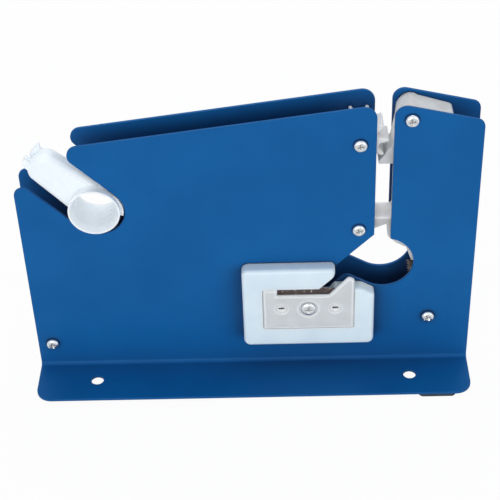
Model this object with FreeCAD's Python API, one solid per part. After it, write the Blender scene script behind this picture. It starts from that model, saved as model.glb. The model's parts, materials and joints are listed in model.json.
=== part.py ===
import FreeCAD, Part
import math
import os

# Bag neck sealer: two bent sheet plates stand back to back on spacers, and everything else works
# between them. Millimetres, +Z up, +X towards the neck slot, -Y is the front, where the trimmer sits.
# The origin is on the table, under the middle of the base.

# ---------------------------------------------------------------- sheet plates
PLATE_LENGTH = 180.0
SHEET = 1.2
PLATE_GAP = 12.0
FLANGE_REACH = 22.0
BEND_RADIUS = 1.6
FLANGE_CORNER = 6.5
PAD_THICK = 1.3
MAIN_TOP_AT_NECK = 126.75       # height of the long sloping edge where it meets the neck slot
MAIN_TOP_SLOPE = 7.4            # degrees
MAIN_TOP_CORNER = 5.0
COLUMN_TOP_AT_NECK = 127.4
COLUMN_TOP_SLOPE = 13.4         # degrees, falling towards the right edge
COLUMN_NECK_CORNER = 4.5
COLUMN_OUTER_CORNER = 3.5

# ---------------------------------------------------------------- table fixing holes
MOUNT_SPACING_X = 130.5
MOUNT_FROM_PLATE = 10.75
MOUNT_DIAMETER = 5.2

# ---------------------------------------------------------------- neck slot, round opening and tail
NECK_CENTRE_X = 53.05
NECK_WIDTH = 6.5
OPENING_X = 53.7
OPENING_Z = 53.5
OPENING_RADIUS = 12.1
TAIL_TOP_Z = 67.5               # where the 45 degree tail leaves the neck slot
TAIL_WIDTH = 5.8
TAIL_REACH = 26.0               # from the neck slot to the tail's closed end, along X
LIP_SLOPE = 30.0                # degrees, from the round opening up to the tail's lower lip
LIP_RADIUS = 3.0

# ---------------------------------------------------------------- slot for the tape hub
SLOT_WIDTH = 21.2
SLOT_END_X = -58.3
SLOT_END_Z = 81.7
NOSE_RADIUS = 4.3
HORN_RADIUS = 3.5

# ---------------------------------------------------------------- screws and what they hold apart
SCREW_RADIUS = 1.5
SCREW_GRIP = 5.0                # screwed into the spacer
SCREW_FIT = 0.05
SCREW_HOLE_PLAY = 0.2
HEAD_RADIUS = 2.65
HEAD_HEIGHT = 1.9
RECESS_DEPTH = 0.9
RECESS_ARM = 1.5
RECESS_WIDTH = 0.6
SPACER_RADIUS = 3.0
LEFT_SPACER_X = -83.8
LEFT_SPACER_Z = 14.0
RIGHT_SPACER_X = 72.7
RIGHT_SPACER_Z = 25.1
GUIDE_X = 43.7
GUIDE_Z = 70.3
GUIDE_RADIUS = 4.6
WHEEL_X = 43.7
WHEEL_Z = 109.9
PIVOT_X = 62.7
PIVOT_Z = 120.5
RUNNING_FIT = 0.05
SIDE_PLAY = 0.3

# ---------------------------------------------------------------- star wheel
WHEEL_TEETH = 10
WHEEL_TIP_RADIUS = 10.8
WHEEL_ROOT_RADIUS = 7.4
WHEEL_WIDTH = 9.6
WHEEL_PHASE = 1.5               # degrees, of the first tooth above +X
TOOTH_TIP_WIDTH = 1.1
TOOTH_ROOT_WIDTH = 2.7
WHEEL_RIM_INNER = 5.9
WHEEL_HUB_RADIUS = 4.5
WHEEL_DISH = 2.6
WHEEL_WASHER_RADIUS = 5.2

# ---------------------------------------------------------------- press lever
LEVER_WIDTH = 10.0
LEVER_WHEEL_GAP = 0.5
LEVER_BACKSET = 0.9             # edge of the lever behind the neck slot's right edge
LEVER_HEAD_LEFT = 58.0
LEVER_HEAD_RIGHT = 78.8
LEVER_HEAD_TOP = 126.5
LEVER_HEAD_SLOPE = 17.6         # degrees
LEVER_HEAD_ROUND = 5.2
LEVER_HEAD_WAIST = 113.5
LEVER_SHOULDER_Z = 116.5
LEVER_CHEEK_X = 55.7            # of the edge beside the wheel
LEVER_CHEEK_Z = 107.2
LEVER_ARM_RIGHT = 67.8
LEVER_ARM_SHOULDER = 98.0
LEVER_TAIL_END = 52.5
NOSE_REACH = 5.5                # of the nose under the wheel, from the neck slot's right edge
NOSE_BOTTOM = 99.7
NOSE_TOP = 104.0
FINGER_REACH = 7.5              # across the neck slot
FINGER_TOP = 74.5
FINGER_THICK = 6.0
FINGER_RISE = 2.8               # of its underside from the tip to the root
THROAT_PROUD = 1.1              # of the lever's throat inside the neck slot's right edge
THROAT_BULGE = 2.6              # of the throat inside the round opening
LEVER_WEB = 2.0
LEVER_POCKET_RADIUS = 1.4
LEVER_WALL = 1.9
LEVER_WASHER_RADIUS = 4.2

# ---------------------------------------------------------------- return spring
SPRING_X = 81.9
SPRING_TOP_PEG_Z = 107.0
SPRING_LOW_PEG_Z = 67.5
SPRING_COIL_RADIUS = 2.2
SPRING_WIRE = 0.5
SPRING_TURNS = 16.0
SPRING_ELBOW = 0.29             # radius of the bend from the coil to each loop
SPRING_LOOP_RADIUS = 2.1
SPRING_PEG_RADIUS = 1.1
SPRING_PEG_PLAY = 0.03
SPRING_NOTCH_RADIUS = 3.6
SPRING_NOTCH_WIDTH = 2.0
SPRING_EAR_GAP = 0.3            # from the coil's end to the ear that holds the peg
EAR_HALF = 3.0                  # of the lever's ear, each side of the peg

# ---------------------------------------------------------------- tape knife and its block
KNIFE_Z = 45.8
KNIFE_THICK = 0.5
KNIFE_WIDTH = 8.0
KNIFE_LENGTH = 12.0
KNIFE_PROUD = 1.9               # of its points inside the round opening
KNIFE_TEETH = 5
KNIFE_TOOTH_DEPTH = 1.1
BLOCK_SETBACK = 0.9             # of the block's edge behind the round opening
BLOCK_FOOT_RADIUS = 6.0
BLOCK_ARM_LEFT = 79.2
BLOCK_ARM_RIGHT = 84.6
BLOCK_ARM_ROOT = 34.0
KNIFE_SCREW_RADIUS = 1.0
KNIFE_HEAD_RADIUS = 2.0
KNIFE_HEAD_HEIGHT = 1.3
KNIFE_SCREW_LENGTH = 6.0

# ---------------------------------------------------------------- trimmer on the front plate
TRIMMER_LEFT = -3.2
TRIMMER_RIGHT = 50.2
TRIMMER_BOTTOM = 15.0
TRIMMER_TOP = 54.4
TRIMMER_THICK = 5.5
TRIMMER_CORNER = 2.8
TRIMMER_EDGE_RADIUS = 1.6
JAW_RIGHT = 34.3
JAW_UNDERSIDE = 44.8
JAW_RUN = 17.0                  # height of the jaw's 45 degree edge above the same X
JAW_ROUND = 4.0
JAW_CORNER = 2.0
ANVIL_TOP = 44.3                # of the trimmer's right arm
ANVIL_CREST = 44.8              # X where its top begins to fall
ANVIL_SHOULDER = 41.2           # height of its outer corner
ANVIL_ROUND = 3.0
ANVIL_SHOULDER_ROUND = 2.0
MOUTH_FOOT_X = 31.9
MOUTH_FOOT_Z = 41.5
MOUTH_SLOPE = 49.0              # degrees, of the lip that faces the jaw
POCKET_LEFT = 4.95
POCKET_RIGHT = 42.2
POCKET_BOTTOM = 24.0
POCKET_CORNER = 0.8
BLADE_THICK = 0.5
COVER_THICK = 1.3
COVER_GAP = 0.15
COVER_PROUD = 0.2
COVER_BEVEL = 0.6
COVER_LIP_TOP = 50.5
COVER_LIP_FALL = 1.4            # of its top towards the right edge
WINDOW_LEFT = 10.9
BLADE_MARGIN = 1.6
BLADE_TOP_GAP = 0.3
BLADE_RIGHT = 36.5
BLADE_PITCH = 3.3
BLADE_TOOTH_DEPTH = 0.5
TRIMMER_SCREW_X = 23.5
TRIMMER_SCREW_Z = 34.7
TRIMMER_HOLE_SPACING = 10.95
TRIMMER_HOLE_RADIUS = 1.5
TRIMMER_SINK_RADIUS = 2.7
TRIMMER_HEAD_RADIUS = 3.1
TRIMMER_HEAD_HEIGHT = 1.5
TRIMMER_SCREW_RADIUS = 2.0
TRIMMER_COUNTERBORE = 4.1
TRIMMER_COUNTERBORE_DEPTH = 0.5
NUT_FLATS = 7.0
NUT_HEIGHT = 3.2
NUT_STICKOUT = 0.6

# ---------------------------------------------------------------- tape hub
HUB_CLEARANCE = 0.45
HUB_BORE = 8.2
HUB_MOUTH = 9.5                 # radius of the flared bore at each rim
HUB_FLARE = 3.0
HUB_PROUD = 2.3                 # of the barrel outside each plate
HUB_SEAT = 1.6                  # of the barrel's centre from the slot's end centre
HUB_ARM_REACH = 30.6
HUB_ARM_BELOW = 8.6             # at the barrel
HUB_ARM_ABOVE = 9.0
HUB_END_BELOW = 6.9             # at the arm's end
HUB_END_ABOVE = 5.7
HUB_ARM_GAP = 0.3               # between the arm and the front plate
HUB_ARM_THICK = 8.5
HUB_ARM_END_RADIUS = 5.4
HUB_ARM_EDGE = 2.6
HUB_HEEL_START = -12.0          # degrees, from +X
HUB_HEEL_END = 100.0
HUB_FINGER_LENGTH = 2.7
HUB_FINGER_SIZE = 2.3
HUB_FINGER_SIDE = -2.9          # of the two blunt fingers, across the slot
HUB_FINGER_GAP = 0.4
HUB_BARB_NECK = 2.9             # of the barbed finger, across the slot
HUB_BARB_TIP = 4.5
HUB_BARB_REACH = 1.3
HUB_BARB_FOOT = -2.0

# ---------------------------------------------------------------- foot pads
PAD_LENGTH = 15.2
PAD_WIDTH = 12.0
PAD_FROM_END = 6.5
PAD_FROM_EDGE = 3.0
EDGE_PAD_FROM_EDGE = 0.0        # the front right pad is stuck on further out
PAD_CORNER = 2.0

# ---------------------------------------------------------------- worked out from the sizes above
INNER_Y = PLATE_GAP / 2
OUTER_Y = INNER_Y + SHEET
HALF_LENGTH = PLATE_LENGTH / 2
FLANGE_EDGE_Y = OUTER_Y + FLANGE_REACH
NECK_LEFT = NECK_CENTRE_X - NECK_WIDTH / 2
NECK_RIGHT = NECK_CENTRE_X + NECK_WIDTH / 2
FRONT = -1
REAR = 1
THROUGH = 200.0                 # long enough to cut right through the device
DIAGONAL = math.sqrt(0.5)
SLOT_OUT = (-DIAGONAL, DIAGONAL)
SLOT_SIDE = (DIAGONAL, DIAGONAL)
AXLES = {
    "left_spacer": (LEFT_SPACER_X, LEFT_SPACER_Z),
    "right_spacer": (RIGHT_SPACER_X, RIGHT_SPACER_Z),
    "guide_spacer": (GUIDE_X, GUIDE_Z),
    "wheel_axle": (WHEEL_X, WHEEL_Z),
    "lever_pivot": (PIVOT_X, PIVOT_Z),
}


# ---------------------------------------------------------------- shape helpers
def vec(x, y, z):
    return FreeCAD.Vector(x, y, z)


def lift_xz(point, y=0.0):
    """A point (x, z) of a side view, as a vector in the plane at y."""
    return vec(point[0], y, point[1])


def lift_xy(point, z=0.0):
    """A point (x, y) of a plan, as a vector at height z."""
    return vec(point[0], point[1], z)


def rounded_wire(corners, lift):
    """Closed outline through corners (a, b, radius), each rounded by its own radius."""
    count = len(corners)
    arcs = []
    for i, (a, b, radius) in enumerate(corners):
        here = lift((a, b))
        before = lift(corners[i - 1][:2])
        after = lift(corners[(i + 1) % count][:2])
        if radius <= 0:
            arcs.append((here, None, here))
            continue
        back = (before - here).normalize()
        ahead = (after - here).normalize()
        half = back.getAngle(ahead) / 2
        run = radius / math.tan(half)
        middle = (back + ahead).normalize()
        centre = here + middle * (radius / math.sin(half))
        arcs.append((here + back * run, centre - middle * radius, here + ahead * run))
    edges = []
    for i, (start, middle, end) in enumerate(arcs):
        if middle is not None:
            edges.append(Part.Arc(start, middle, end).toShape())
        following = arcs[(i + 1) % count][0]
        if (following - end).Length > 1e-6:
            edges.append(Part.LineSegment(end, following).toShape())
    return Part.Wire(edges)


def side_prism(corners, y_low, y_high):
    """Solid between two Y planes, of an outline drawn in the side view (x, z, radius)."""
    face = Part.Face(rounded_wire(corners, lambda p: lift_xz(p, y_low)))
    return face.extrude(vec(0, y_high - y_low, 0))


def plan_prism(corners, z_low, z_high):
    """Solid between two heights, of an outline drawn in plan (x, y, radius)."""
    face = Part.Face(rounded_wire(corners, lambda p: lift_xy(p, z_low)))
    return face.extrude(vec(0, 0, z_high - z_low))


def round_y(x, z, radius, y_low, y_high):
    """Cylinder along Y."""
    return Part.makeCylinder(radius, y_high - y_low, vec(x, y_low, z), vec(0, 1, 0))


def ring_y(x, z, radius, bore, y_low, y_high):
    """Washer or tube along Y."""
    return round_y(x, z, radius, y_low, y_high).cut(round_y(x, z, bore, y_low, y_high))


def mirror_y(shape):
    """The same piece on the other side of the device."""
    return shape.mirror(vec(0, 0, 0), vec(0, 1, 0))


def polar(x, z, radius, degrees):
    angle = math.radians(degrees)
    return (x + radius * math.cos(angle), z + radius * math.sin(angle))


def slot_point(out, side):
    """A point of the hub slot: out along the slot from its end centre, and side across it."""
    return (SLOT_END_X + out * SLOT_OUT[0] + side * SLOT_SIDE[0],
            SLOT_END_Z + out * SLOT_OUT[1] + side * SLOT_SIDE[1])


def with_radius(point, radius):
    return (point[0], point[1], radius)


# ---------------------------------------------------------------- the two plates
def main_top_z(x):
    return MAIN_TOP_AT_NECK - (NECK_LEFT - x) * math.tan(math.radians(MAIN_TOP_SLOPE))


def column_top_z(x):
    return COLUMN_TOP_AT_NECK - (x - NECK_RIGHT) * math.tan(math.radians(COLUMN_TOP_SLOPE))


def plate_outline():
    """Side view of a plate, with the neck slot and the hub slot open to its edge."""
    half = SLOT_WIDTH / 2
    upper_sum = sum(slot_point(0, half))
    lower_sum = sum(slot_point(0, -half))
    slope = math.tan(math.radians(MAIN_TOP_SLOPE))
    nose_x = (upper_sum - main_top_z(0)) / (1 + slope)
    return [
        (-HALF_LENGTH, -PAD_THICK, 0),
        (HALF_LENGTH, -PAD_THICK, 0),
        (HALF_LENGTH, column_top_z(HALF_LENGTH), COLUMN_OUTER_CORNER),
        (NECK_RIGHT, column_top_z(NECK_RIGHT), COLUMN_NECK_CORNER),
        (NECK_RIGHT, OPENING_Z, 0),
        (NECK_LEFT, OPENING_Z, 0),
        (NECK_LEFT, main_top_z(NECK_LEFT), MAIN_TOP_CORNER),
        (nose_x, main_top_z(nose_x), NOSE_RADIUS),
        with_radius(slot_point(-half, half), half),
        with_radius(slot_point(-half, -half), half),
        (-HALF_LENGTH, lower_sum + HALF_LENGTH, HORN_RADIUS),
    ]


def opening_cutter():
    """The round opening with the tail that leads down to the trimmer."""
    upper_run = TAIL_TOP_Z - NECK_LEFT
    lower_run = upper_run - TAIL_WIDTH / DIAGONAL
    half_step = TAIL_WIDTH * DIAGONAL
    end_x = NECK_LEFT - TAIL_REACH
    tangent = polar(OPENING_X, OPENING_Z, OPENING_RADIUS, 270.0 - LIP_SLOPE)
    lip_slope = math.tan(math.radians(LIP_SLOPE))
    lip_x = (tangent[1] + tangent[0] * lip_slope - lower_run) / (1 + lip_slope)
    tail = side_prism([
        (NECK_LEFT, TAIL_TOP_Z, 0),
        (end_x, end_x + upper_run, TAIL_WIDTH / 2),
        (end_x + half_step, end_x + half_step + lower_run, TAIL_WIDTH / 2),
        (lip_x, lip_x + lower_run, LIP_RADIUS),
        (tangent[0], tangent[1], 0),
        (OPENING_X, OPENING_Z, 0),
    ], -THROUGH, THROUGH)
    return tail.fuse(round_y(OPENING_X, OPENING_Z, OPENING_RADIUS, -THROUGH, THROUGH))


def mount_points():
    """The four table fixing holes, as (x, side)."""
    return [(x, side) for side in (FRONT, REAR) for x in (-MOUNT_SPACING_X / 2, MOUNT_SPACING_X / 2)]


def build_front_plate():
    """L section bent from one sheet, trimmed to the side view and to the rounded flange."""
    bottom = PAD_THICK
    outer_bend = BEND_RADIUS + SHEET
    bend_y = -(OUTER_Y + BEND_RADIUS)
    bend_z = bottom + outer_bend
    mid = DIAGONAL

    def at(y, z):
        return vec(-HALF_LENGTH, y, z)

    edges = [
        Part.LineSegment(at(-FLANGE_EDGE_Y, bottom), at(bend_y, bottom)).toShape(),
        Part.Arc(at(bend_y, bottom), at(bend_y + outer_bend * mid, bend_z - outer_bend * mid),
                 at(-INNER_Y, bend_z)).toShape(),
        Part.LineSegment(at(-INNER_Y, bend_z), at(-INNER_Y, THROUGH)).toShape(),
        Part.LineSegment(at(-INNER_Y, THROUGH), at(-OUTER_Y, THROUGH)).toShape(),
        Part.LineSegment(at(-OUTER_Y, THROUGH), at(-OUTER_Y, bend_z)).toShape(),
        Part.Arc(at(-OUTER_Y, bend_z), at(bend_y + BEND_RADIUS * mid, bend_z - BEND_RADIUS * mid),
                 at(bend_y, bottom + SHEET)).toShape(),
        Part.LineSegment(at(bend_y, bottom + SHEET), at(-FLANGE_EDGE_Y, bottom + SHEET)).toShape(),
        Part.LineSegment(at(-FLANGE_EDGE_Y, bottom + SHEET), at(-FLANGE_EDGE_Y, bottom)).toShape(),
    ]
    sheet = Part.Face(Part.Wire(edges)).extrude(vec(PLATE_LENGTH, 0, 0))
    sheet = sheet.common(side_prism(plate_outline(), -THROUGH, THROUGH))
    sheet = sheet.common(plan_prism([
        (-HALF_LENGTH, -FLANGE_EDGE_Y, FLANGE_CORNER),
        (HALF_LENGTH, -FLANGE_EDGE_Y, FLANGE_CORNER),
        (HALF_LENGTH, 0, 0),
        (-HALF_LENGTH, 0, 0),
    ], -PAD_THICK, THROUGH))
    sheet = sheet.cut(opening_cutter())
    for x, z in AXLES.values():
        sheet = sheet.cut(round_y(x, z, SCREW_RADIUS + SCREW_HOLE_PLAY, -THROUGH, THROUGH))
    for x, side in mount_points():
        hole_y = side * (OUTER_Y + MOUNT_FROM_PLATE)
        sheet = sheet.cut(Part.makeCylinder(MOUNT_DIAMETER / 2, THROUGH, vec(x, hole_y, -PAD_THICK)))
    return sheet.removeSplitter()


def trimmer_bolt_hole():
    return round_y(TRIMMER_SCREW_X, TRIMMER_SCREW_Z, TRIMMER_SCREW_RADIUS + SCREW_HOLE_PLAY, -THROUGH, 0)


# ---------------------------------------------------------------- spacers, axles and screws
def build_spacer(name):
    """Round spacer between the plates, drilled through for the screws of both sides."""
    x, z = AXLES[name]
    return ring_y(x, z, SPACER_RADIUS, SCREW_RADIUS + SCREW_FIT, -INNER_Y, INNER_Y)


def cross_recess(x, z, top_y):
    """Cross-shaped recess that opens at top_y, towards the front."""
    long_arm = Part.makeBox(2 * RECESS_ARM, RECESS_DEPTH, RECESS_WIDTH,
                            vec(x - RECESS_ARM, top_y, z - RECESS_WIDTH / 2))
    tall_arm = Part.makeBox(RECESS_WIDTH, RECESS_DEPTH, 2 * RECESS_ARM,
                            vec(x - RECESS_WIDTH / 2, top_y, z - RECESS_ARM))
    return long_arm.fuse(tall_arm)


def pan_head(x, z, seat_y, radius, height):
    """Domed head whose flat side rests at seat_y and whose top faces the front."""
    edge_y = seat_y - height * 0.45
    top_y = seat_y - height
    section = Part.Wire([
        Part.LineSegment(vec(x, seat_y, z), vec(x + radius, seat_y, z)).toShape(),
        Part.LineSegment(vec(x + radius, seat_y, z), vec(x + radius, edge_y, z)).toShape(),
        Part.Arc(vec(x + radius, edge_y, z), vec(x + radius * 0.8, seat_y - height * 0.86, z),
                 vec(x + radius * 0.4, top_y, z)).toShape(),
        Part.LineSegment(vec(x + radius * 0.4, top_y, z), vec(x, top_y, z)).toShape(),
        Part.LineSegment(vec(x, top_y, z), vec(x, seat_y, z)).toShape(),
    ])
    return Part.Face(section).revolve(vec(x, 0, z), vec(0, 1, 0), 360)


def machine_screw(x, z, seat_y, shank_radius, shank_length, head_radius, head_height):
    """Pan-head screw with a cross recess, pointing to the rear from its seat."""
    head = pan_head(x, z, seat_y, head_radius, head_height)
    shank = round_y(x, z, shank_radius, seat_y, seat_y + shank_length)
    return head.fuse(shank).cut(cross_recess(x, z, seat_y - head_height)).removeSplitter()


def build_front_screws():
    """One screw for each spacer, all alike."""
    length = SHEET + SCREW_GRIP
    screws = [machine_screw(x, z, -OUTER_Y, SCREW_RADIUS, length, HEAD_RADIUS, HEAD_HEIGHT)
              for x, z in AXLES.values()]
    return Part.makeCompound(screws)


# ---------------------------------------------------------------- star wheel
def build_star_wheel():
    """Moulded wheel with blunt fins that roll the tape on to the neck."""
    corners = []
    for tooth in range(WHEEL_TEETH):
        centre = WHEEL_PHASE + tooth * 360.0 / WHEEL_TEETH
        root_half = math.degrees(math.asin(TOOTH_ROOT_WIDTH / 2 / WHEEL_ROOT_RADIUS))
        tip_half = math.degrees(math.asin(TOOTH_TIP_WIDTH / 2 / WHEEL_TIP_RADIUS))
        for radius, angle, rounding in (
                (WHEEL_ROOT_RADIUS, -root_half, TOOTH_TIP_WIDTH * 0.7),
                (WHEEL_TIP_RADIUS, -tip_half, TOOTH_TIP_WIDTH * 0.3),
                (WHEEL_TIP_RADIUS, tip_half, TOOTH_TIP_WIDTH * 0.3),
                (WHEEL_ROOT_RADIUS, root_half, TOOTH_TIP_WIDTH * 0.7)):
            point = polar(WHEEL_X, WHEEL_Z, radius, centre + angle)
            corners.append(with_radius(point, rounding))
    half = WHEEL_WIDTH / 2
    wheel = side_prism(corners, -half, half)
    dish = ring_y(WHEEL_X, WHEEL_Z, WHEEL_RIM_INNER, WHEEL_HUB_RADIUS, -half, WHEEL_DISH - half)
    wheel = wheel.cut(dish).cut(mirror_y(dish))
    return wheel.cut(round_y(WHEEL_X, WHEEL_Z, SPACER_RADIUS + RUNNING_FIT, -half, half))


def side_washers(x, z, radius, width):
    """The two washers that centre a piece of this width between the plates."""
    thick = INNER_Y - width / 2 - SIDE_PLAY
    front = ring_y(x, z, radius, SPACER_RADIUS + RUNNING_FIT, -INNER_Y, thick - INNER_Y)
    return Part.makeCompound([front, mirror_y(front)])


# ---------------------------------------------------------------- press lever
def spring_loop_offset():
    """From a peg's centre to the centre of the spring's loop, on the coil's side."""
    return SPRING_LOOP_RADIUS - SPRING_WIRE / 2 - SPRING_PEG_RADIUS - SPRING_PEG_PLAY


def ear_lip():
    """From a peg's centre to the edge that faces the coil."""
    return spring_loop_offset() + SPRING_LOOP_RADIUS - SPRING_WIRE / 2 - SPRING_EAR_GAP


def lever_outline():
    """Side view: head at the pivot, ear for the spring, nose, finger across the slot, and throat."""
    left = NECK_RIGHT + LEVER_BACKSET
    head_drop = (LEVER_HEAD_RIGHT - LEVER_HEAD_LEFT) * math.tan(math.radians(LEVER_HEAD_SLOPE))
    ear_left = SPRING_X - EAR_HALF
    ear_right = SPRING_X + EAR_HALF
    ear_low = SPRING_TOP_PEG_Z - ear_lip()
    nose_x = NECK_RIGHT - NOSE_REACH
    finger_x = NECK_RIGHT - FINGER_REACH
    throat_x = NECK_RIGHT - THROAT_PROUD
    bulge = polar(OPENING_X, OPENING_Z, OPENING_RADIUS - THROAT_BULGE, 58.0)
    shoulder = polar(OPENING_X, OPENING_Z, OPENING_RADIUS - THROAT_BULGE / 2, 33.0)
    tail = polar(OPENING_X, OPENING_Z, OPENING_RADIUS - THROAT_PROUD / 2, -6.0)
    return [
        (LEVER_HEAD_LEFT, LEVER_HEAD_TOP, LEVER_HEAD_ROUND),
        (LEVER_HEAD_RIGHT, LEVER_HEAD_TOP - head_drop, 2.0),
        (LEVER_HEAD_RIGHT, LEVER_HEAD_WAIST, 1.5),
        (ear_right, SPRING_TOP_PEG_Z + EAR_HALF, 2.5),
        (ear_right, ear_low, 2.5),
        (ear_left, ear_low, 2.0),
        (LEVER_ARM_RIGHT, LEVER_ARM_SHOULDER, 6.0),
        (LEVER_ARM_RIGHT, LEVER_TAIL_END, 1.0),
        (tail[0], LEVER_TAIL_END, 0.8),
        (shoulder[0], shoulder[1], 0.8),
        (bulge[0], bulge[1], 2.4),
        (throat_x, OPENING_Z + OPENING_RADIUS - THROAT_PROUD / 2, 2.5),
        (throat_x, FINGER_TOP - FINGER_THICK + FINGER_RISE, 0.8),
        (finger_x, FINGER_TOP - FINGER_THICK, 0.8),
        (finger_x, FINGER_TOP, 1.2),
        (left, FINGER_TOP, 1.2),
        (left, NOSE_BOTTOM, 1.5),
        (nose_x, NOSE_BOTTOM, 0.6),
        (nose_x, NOSE_TOP, 0),
        (LEVER_CHEEK_X, LEVER_CHEEK_Z, 2.0),
        (left, LEVER_SHOULDER_Z, 3.0),
    ]


def lever_pockets():
    """Cored-out places of the moulding, as side views."""
    inner_left = NECK_RIGHT + LEVER_BACKSET + LEVER_WALL
    inner_right = LEVER_ARM_RIGHT - LEVER_WALL
    head_left = PIVOT_X + SPACER_RADIUS + 2 * LEVER_WALL
    head_right = LEVER_HEAD_RIGHT - LEVER_WALL
    return [
        [(inner_left, FINGER_TOP + LEVER_WALL), (inner_right, FINGER_TOP + LEVER_WALL),
         (inner_right, NOSE_BOTTOM - LEVER_WALL), (inner_left, NOSE_BOTTOM - LEVER_WALL)],
        [(inner_left, OPENING_Z + OPENING_RADIUS), (inner_right, OPENING_Z + OPENING_RADIUS / 2),
         (inner_right, FINGER_TOP), (inner_left, FINGER_TOP)],
        [(head_left, SPRING_TOP_PEG_Z), (head_right, SPRING_TOP_PEG_Z + LEVER_WALL),
         (head_right, PIVOT_Z - LEVER_WALL), (head_left, PIVOT_Z - LEVER_WALL / 2)],
    ]


def with_hook_peg(block, peg_z):
    """The block with a notch for the spring's end loop, and a peg across the notch."""
    half = SPRING_NOTCH_WIDTH / 2
    notch = round_y(SPRING_X, peg_z, SPRING_NOTCH_RADIUS, -half, half)
    return block.cut(notch).fuse(round_y(SPRING_X, peg_z, SPRING_PEG_RADIUS, -2 * half, 2 * half))


def build_press_lever():
    half = LEVER_WIDTH / 2
    lever = side_prism(lever_outline(), -half, half)
    lever = lever.cut(round_y(WHEEL_X, WHEEL_Z, WHEEL_TIP_RADIUS + LEVER_WHEEL_GAP, -half, half))
    for pocket in lever_pockets():
        corners = [with_radius(point, LEVER_POCKET_RADIUS) for point in pocket]
        front = side_prism(corners, -half, -LEVER_WEB / 2)
        lever = lever.cut(front).cut(mirror_y(front))
    lever = with_hook_peg(lever, SPRING_TOP_PEG_Z)
    return lever.cut(round_y(PIVOT_X, PIVOT_Z, SPACER_RADIUS + RUNNING_FIT, -half, half)).removeSplitter()


def build_lever_spring():
    """Tension spring along Z, with a loop round the peg at each end."""
    wire = SPRING_WIRE / 2
    top_loop = SPRING_TOP_PEG_Z - spring_loop_offset()
    low_loop = SPRING_LOW_PEG_Z + spring_loop_offset()
    start = low_loop + SPRING_LOOP_RADIUS
    length = top_loop - SPRING_LOOP_RADIUS - start
    helix = Part.makeHelix(length / SPRING_TURNS, length, SPRING_COIL_RADIUS)
    ring = Part.Wire(Part.makeCircle(wire, vec(SPRING_COIL_RADIUS, 0, 0), vec(0, 1, 0)))
    spring = Part.Wire(helix.Edges).makePipeShell([ring], True, True)
    for loop_z, joint_z in ((-SPRING_LOOP_RADIUS, 0.0), (length + SPRING_LOOP_RADIUS, length)):
        loop = Part.makeTorus(SPRING_LOOP_RADIUS, wire, vec(0, 0, loop_z), vec(0, 1, 0))
        link = Part.makeCylinder(wire, SPRING_COIL_RADIUS, vec(0, 0, joint_z), vec(1, 0, 0))
        elbow = Part.makeSphere(SPRING_ELBOW, vec(SPRING_COIL_RADIUS, 0, joint_z))
        spring = spring.fuse(loop.fuse([link, elbow]))
    spring.translate(vec(SPRING_X, 0, start))
    return spring


# ---------------------------------------------------------------- tape knife
def build_knife_block():
    """Moulded block on the right spacer: seat for the knife, and an arm that holds the spring."""
    seat_x = OPENING_X + OPENING_RADIUS + BLOCK_SETBACK
    foot_left = RIGHT_SPACER_X - BLOCK_FOOT_RADIUS
    foot_right = RIGHT_SPACER_X + BLOCK_FOOT_RADIUS
    foot_z = RIGHT_SPACER_Z - BLOCK_FOOT_RADIUS
    arm_top = SPRING_LOW_PEG_Z + ear_lip()
    corners = [
        (foot_left, foot_z, 0.9 * BLOCK_FOOT_RADIUS),
        (foot_right, foot_z, 0.9 * BLOCK_FOOT_RADIUS),
        (foot_right, RIGHT_SPACER_Z, 2.0),
        (BLOCK_ARM_RIGHT, BLOCK_ARM_ROOT, 3.0),
        (BLOCK_ARM_RIGHT, arm_top, 2.4),
        (BLOCK_ARM_LEFT, arm_top, 2.4),
        (BLOCK_ARM_LEFT, KNIFE_Z, 2.0),
        (seat_x, KNIFE_Z, 0.6),
    ]
    block = side_prism(corners, -INNER_Y, INNER_Y)
    block = with_hook_peg(block, SPRING_LOW_PEG_Z)
    block = block.cut(round_y(RIGHT_SPACER_X, RIGHT_SPACER_Z, SPACER_RADIUS + RUNNING_FIT,
                              -INNER_Y, INNER_Y))
    return block.cut(Part.makeCylinder(KNIFE_SCREW_RADIUS, KNIFE_SCREW_LENGTH,
                                       knife_screw_foot())).removeSplitter()


def knife_screw_foot():
    """The lower end of the knife's screw."""
    x = OPENING_X + OPENING_RADIUS + BLOCK_SETBACK + KNIFE_LENGTH / 3
    return vec(x, 0, KNIFE_Z + KNIFE_THICK - KNIFE_SCREW_LENGTH)


def build_tape_knife():
    """Flat steel knife whose points stand into the round opening."""
    tip_x = OPENING_X + OPENING_RADIUS - KNIFE_PROUD
    half = KNIFE_WIDTH / 2
    pitch = KNIFE_WIDTH / KNIFE_TEETH
    corners = [(tip_x + KNIFE_LENGTH, -half, 0.8), (tip_x + KNIFE_LENGTH, half, 0.8)]
    for tooth in range(KNIFE_TEETH):
        top = half - tooth * pitch
        corners.append((tip_x + KNIFE_TOOTH_DEPTH, top, 0))
        corners.append((tip_x, top - pitch / 2, 0))
    corners.append((tip_x + KNIFE_TOOTH_DEPTH, -half, 0))
    blade = plan_prism(corners, KNIFE_Z, KNIFE_Z + KNIFE_THICK)
    return blade.cut(Part.makeCylinder(KNIFE_SCREW_RADIUS + SCREW_HOLE_PLAY, KNIFE_SCREW_LENGTH,
                                       knife_screw_foot()))


def build_knife_screw():
    """Small screw that holds the knife down."""
    foot = knife_screw_foot()
    shank = Part.makeCylinder(KNIFE_SCREW_RADIUS, KNIFE_SCREW_LENGTH, foot)
    seat = foot + vec(0, 0, KNIFE_SCREW_LENGTH)
    head = Part.makeCylinder(KNIFE_HEAD_RADIUS, KNIFE_HEAD_HEIGHT, seat)
    head = head.makeFillet(KNIFE_HEAD_HEIGHT * 0.45, [head.Edges[0]])
    return shank.fuse(head).removeSplitter()


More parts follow.
